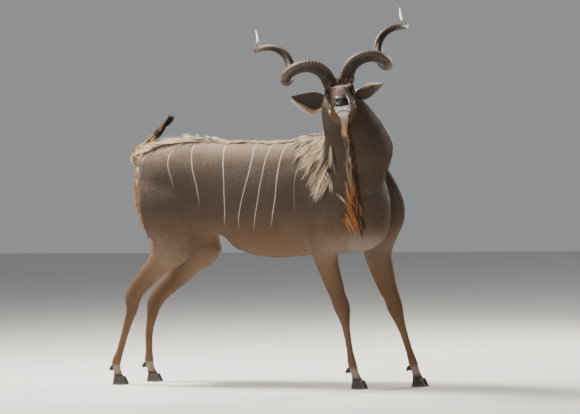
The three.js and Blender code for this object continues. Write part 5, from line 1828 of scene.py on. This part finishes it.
class KUDU_OT_ears(bpy.types.Operator):
    """Builds the ears and the hair in them"""
    bl_idname = "kudu.ears"
    bl_label = "Ears"

    def execute(self, context):
        settings = Settings(context.scene)
        rng = np.random.default_rng(16)
        material = ear_material(settings)
        white = hair_material("ear_hair", settings.back, settings.cream, settings.coat, 0.2)
        for name in EARS:
            ear = build_ear(name)
            ear.name = name + "_cup"
            ear.data.materials.append(material)
            flat = np.zeros((len(ear.data.vertices), 3))
            flat[:, 0] = 0.7 + 0.1 * (name == "ear_left")
            flat[:, 1] = 0.9
            store(ear.data, "patch", flat, "FLOAT_VECTOR")
            finish_piece(ear, "coat", name)
            guides = ear_guides(ear, rng)
            hair_piece(name + "_hair", white, Body(ear), guides, 17, 8, 0.003, 0.0006, 4, sunk=0.0004)
        return {"FINISHED"}


class KUDU_OT_horns(bpy.types.Operator):
    """Builds the ribbed spiral horns"""
    bl_idname = "kudu.horns"
    bl_label = "Horns"

    def execute(self, context):
        material = horn_material(Settings(context.scene))
        for word, side in SIDES.items():
            horn = build_horn("spiral_horn_" + word, side)
            horn.data.materials.append(material)
            finish_piece(horn, "horn", "horn_" + word)
        return {"FINISHED"}


class KUDU_OT_eyes(bpy.types.Operator):
    """Builds the eyes and the rims of the lids"""
    bl_idname = "kudu.eyes"
    bl_label = "Eyes"

    def execute(self, context):
        settings = Settings(context.scene)
        wet, dark = eye_material(settings), lid_material(settings)
        for word, side in SIDES.items():
            eye = build_eye("eyeball_" + word, side)
            eye.data.materials.append(wet)
            finish_piece(eye, "eye", "eye_" + word)
            lids = build_lids(side, "lids_" + word)
            lids.data.materials.append(dark)
            finish_piece(lids, "coat")
        return {"FINISHED"}


class KUDU_OT_hooves(bpy.types.Operator):
    """Builds the toes and dewclaws of the four feet"""
    bl_idname = "kudu.hooves"
    bl_label = "Hooves"

    def execute(self, context):
        material = hoof_material(Settings(context.scene))
        for name, (yaw, rows) in LEGS.items():
            for word, side in SIDES.items():
                toe = toe_rings(rows[-1], yaw, side)
                claw = dewclaw_rings(rows, yaw, side)
                for piece, node, rings in (("hoof", "toe", toe), ("claw", "dewclaw", claw)):
                    obj = new_object(f"{piece}_{name}_{word}", *loft_mesh(to_frame(rings)))
                    face_outwards(obj.data)
                    obj.data.materials.append(material)
                    finish_piece(obj, "hoof", f"{node}_{name}_{word}")
        return {"FINISHED"}


# The photo's view: its width and focal length in pixels, its centre's shift in pixels to the side and up,
# and the camera's distance from the middle of the body in metres
PHOTO_WIDTH, PHOTO_FOCUS, PHOTO_SHIFT, PHOTO_DISTANCE = 580.0, 3960.0, (28.0, -2.0), 22.0

# The camera's angles in degrees: round from the side, above the level, and its roll
PHOTO_ANGLES = (27.0, 2.0, 1.6)
SENSOR_WIDTH, FLOOR_REACH = 36.0, 14


class KUDU_OT_stage(bpy.types.Operator):
    """Sets the floor, the soft lights and the camera"""
    bl_idname = "kudu.stage"
    bl_label = "Stage"

    def execute(self, context):
        scene = context.scene
        settings = Settings(scene)
        corners = [(x * FLOOR_REACH, y * FLOOR_REACH, 0) for x, y in ((-1, -1), (1, -1), (1, 1), (-1, 1))]
        floor = new_object("floor", corners, [(0, 1, 2, 3)])
        material, tree = new_material("pale_floor")
        grain = tree.noise(tree.place(), 3.0)
        colour = tree.toned(0.97 + grain * 0.06, settings.floor)
        shade(tree, colour, 0.9)
        floor.data.materials.append(material)

        back, right, up = camera_axes()
        target = to_frame((0.0, 0.0, 1000.0))
        lamps = [
            ("key", -0.50 * right - 0.22 * back + 0.95 * up, 4.4, 1.4, 900.0, (1.0, 0.94, 0.86)),
            ("rim", 0.85 * right - 0.75 * back + 0.55 * up, 4.4, 1.6, 260.0, (1.0, 0.92, 0.82)),
            ("fill", -0.25 * right + 0.95 * back + 0.35 * up, 5.0, 4.0, 110.0, (1.0, 0.98, 0.96)),
        ]
        for name, way, distance, size, power, colour in lamps:
            light = bpy.data.lights.new(name, "AREA")
            light.shape = "DISK"
            light.size = size
            light.energy = power
            light.color = colour
            lamp = bpy.data.objects.new(name, light)
            lamp.location = target + unit(way) * distance
            lamp.rotation_euler = Vector(unit(way)).to_track_quat("Z", "Y").to_euler()
            scene.collection.objects.link(lamp)
        world = bpy.data.worlds.new("soft_room")
        world.use_nodes = True
        background = world.node_tree.nodes["Background"]
        background.inputs["Color"].default_value = (0.80, 0.83, 0.86, 1.0)
        background.inputs["Strength"].default_value = 0.36
        scene.world = world

        camera = bpy.data.cameras.new("photo_view")
        camera.sensor_width = SENSOR_WIDTH
        camera.lens = SENSOR_WIDTH * PHOTO_FOCUS / PHOTO_WIDTH
        camera.shift_x, camera.shift_y = (shift / PHOTO_WIDTH for shift in PHOTO_SHIFT)
        camera.clip_end = 100.0
        eye = bpy.data.objects.new("photo_view", camera)
        rotation = Matrix((right, up, back)).transposed()
        eye.matrix_world = Matrix.Translation(target + back * PHOTO_DISTANCE) @ rotation.to_4x4()
        scene.collection.objects.link(eye)
        scene.camera = eye
        return {"FINISHED"}


def camera_axes():
    """The photo's view: back to the camera, its right and its up"""
    azimuth, height, roll = (math.radians(angle) for angle in PHOTO_ANGLES)
    flat, rise = math.cos(height), math.sin(height)
    back = np.array([math.sin(azimuth) * flat, -math.cos(azimuth) * flat, rise])
    level = np.array([math.cos(azimuth), math.sin(azimuth), 0.0])
    plumb = np.cross(back, level)
    right = math.cos(roll) * level - math.sin(roll) * plumb
    up = math.sin(roll) * level + math.cos(roll) * plumb
    return back, right, up


OPERATORS = (KUDU_OT_skin, KUDU_OT_ears, KUDU_OT_horns, KUDU_OT_eyes, KUDU_OT_hooves, KUDU_OT_coat,
             KUDU_OT_mane, KUDU_OT_fringe, KUDU_OT_tail_hair, KUDU_OT_stage)


class KUDU_PT_panel(bpy.types.Panel):
    bl_idname = "KUDU_PT_panel"
    bl_label = "Greater kudu bull"
    bl_space_type = "VIEW_3D"
    bl_region_type = "UI"
    bl_category = "Kudu"

    def draw(self, context):
        for group in (context.scene.kudu_sizes, context.scene.kudu_colours):
            for name in group.__annotations__:
                self.layout.prop(group, name)
        for operator in OPERATORS:
            self.layout.operator(operator.bl_idname)


CLASSES = (KuduSizes, KuduColours, *OPERATORS, KUDU_PT_panel)


def register():
    for cls in CLASSES:
        bpy.utils.register_class(cls)
    bpy.types.Scene.kudu_sizes = bpy.props.PointerProperty(type=KuduSizes)
    bpy.types.Scene.kudu_colours = bpy.props.PointerProperty(type=KuduColours)


def unregister():
    del bpy.types.Scene.kudu_colours
    del bpy.types.Scene.kudu_sizes
    for cls in reversed(CLASSES):
        bpy.utils.unregister_class(cls)


def main():
    register()
    for operator in OPERATORS:
        getattr(bpy.ops.kudu, operator.bl_idname.split(".")[1])()


if __name__ == "__main__":
    main()
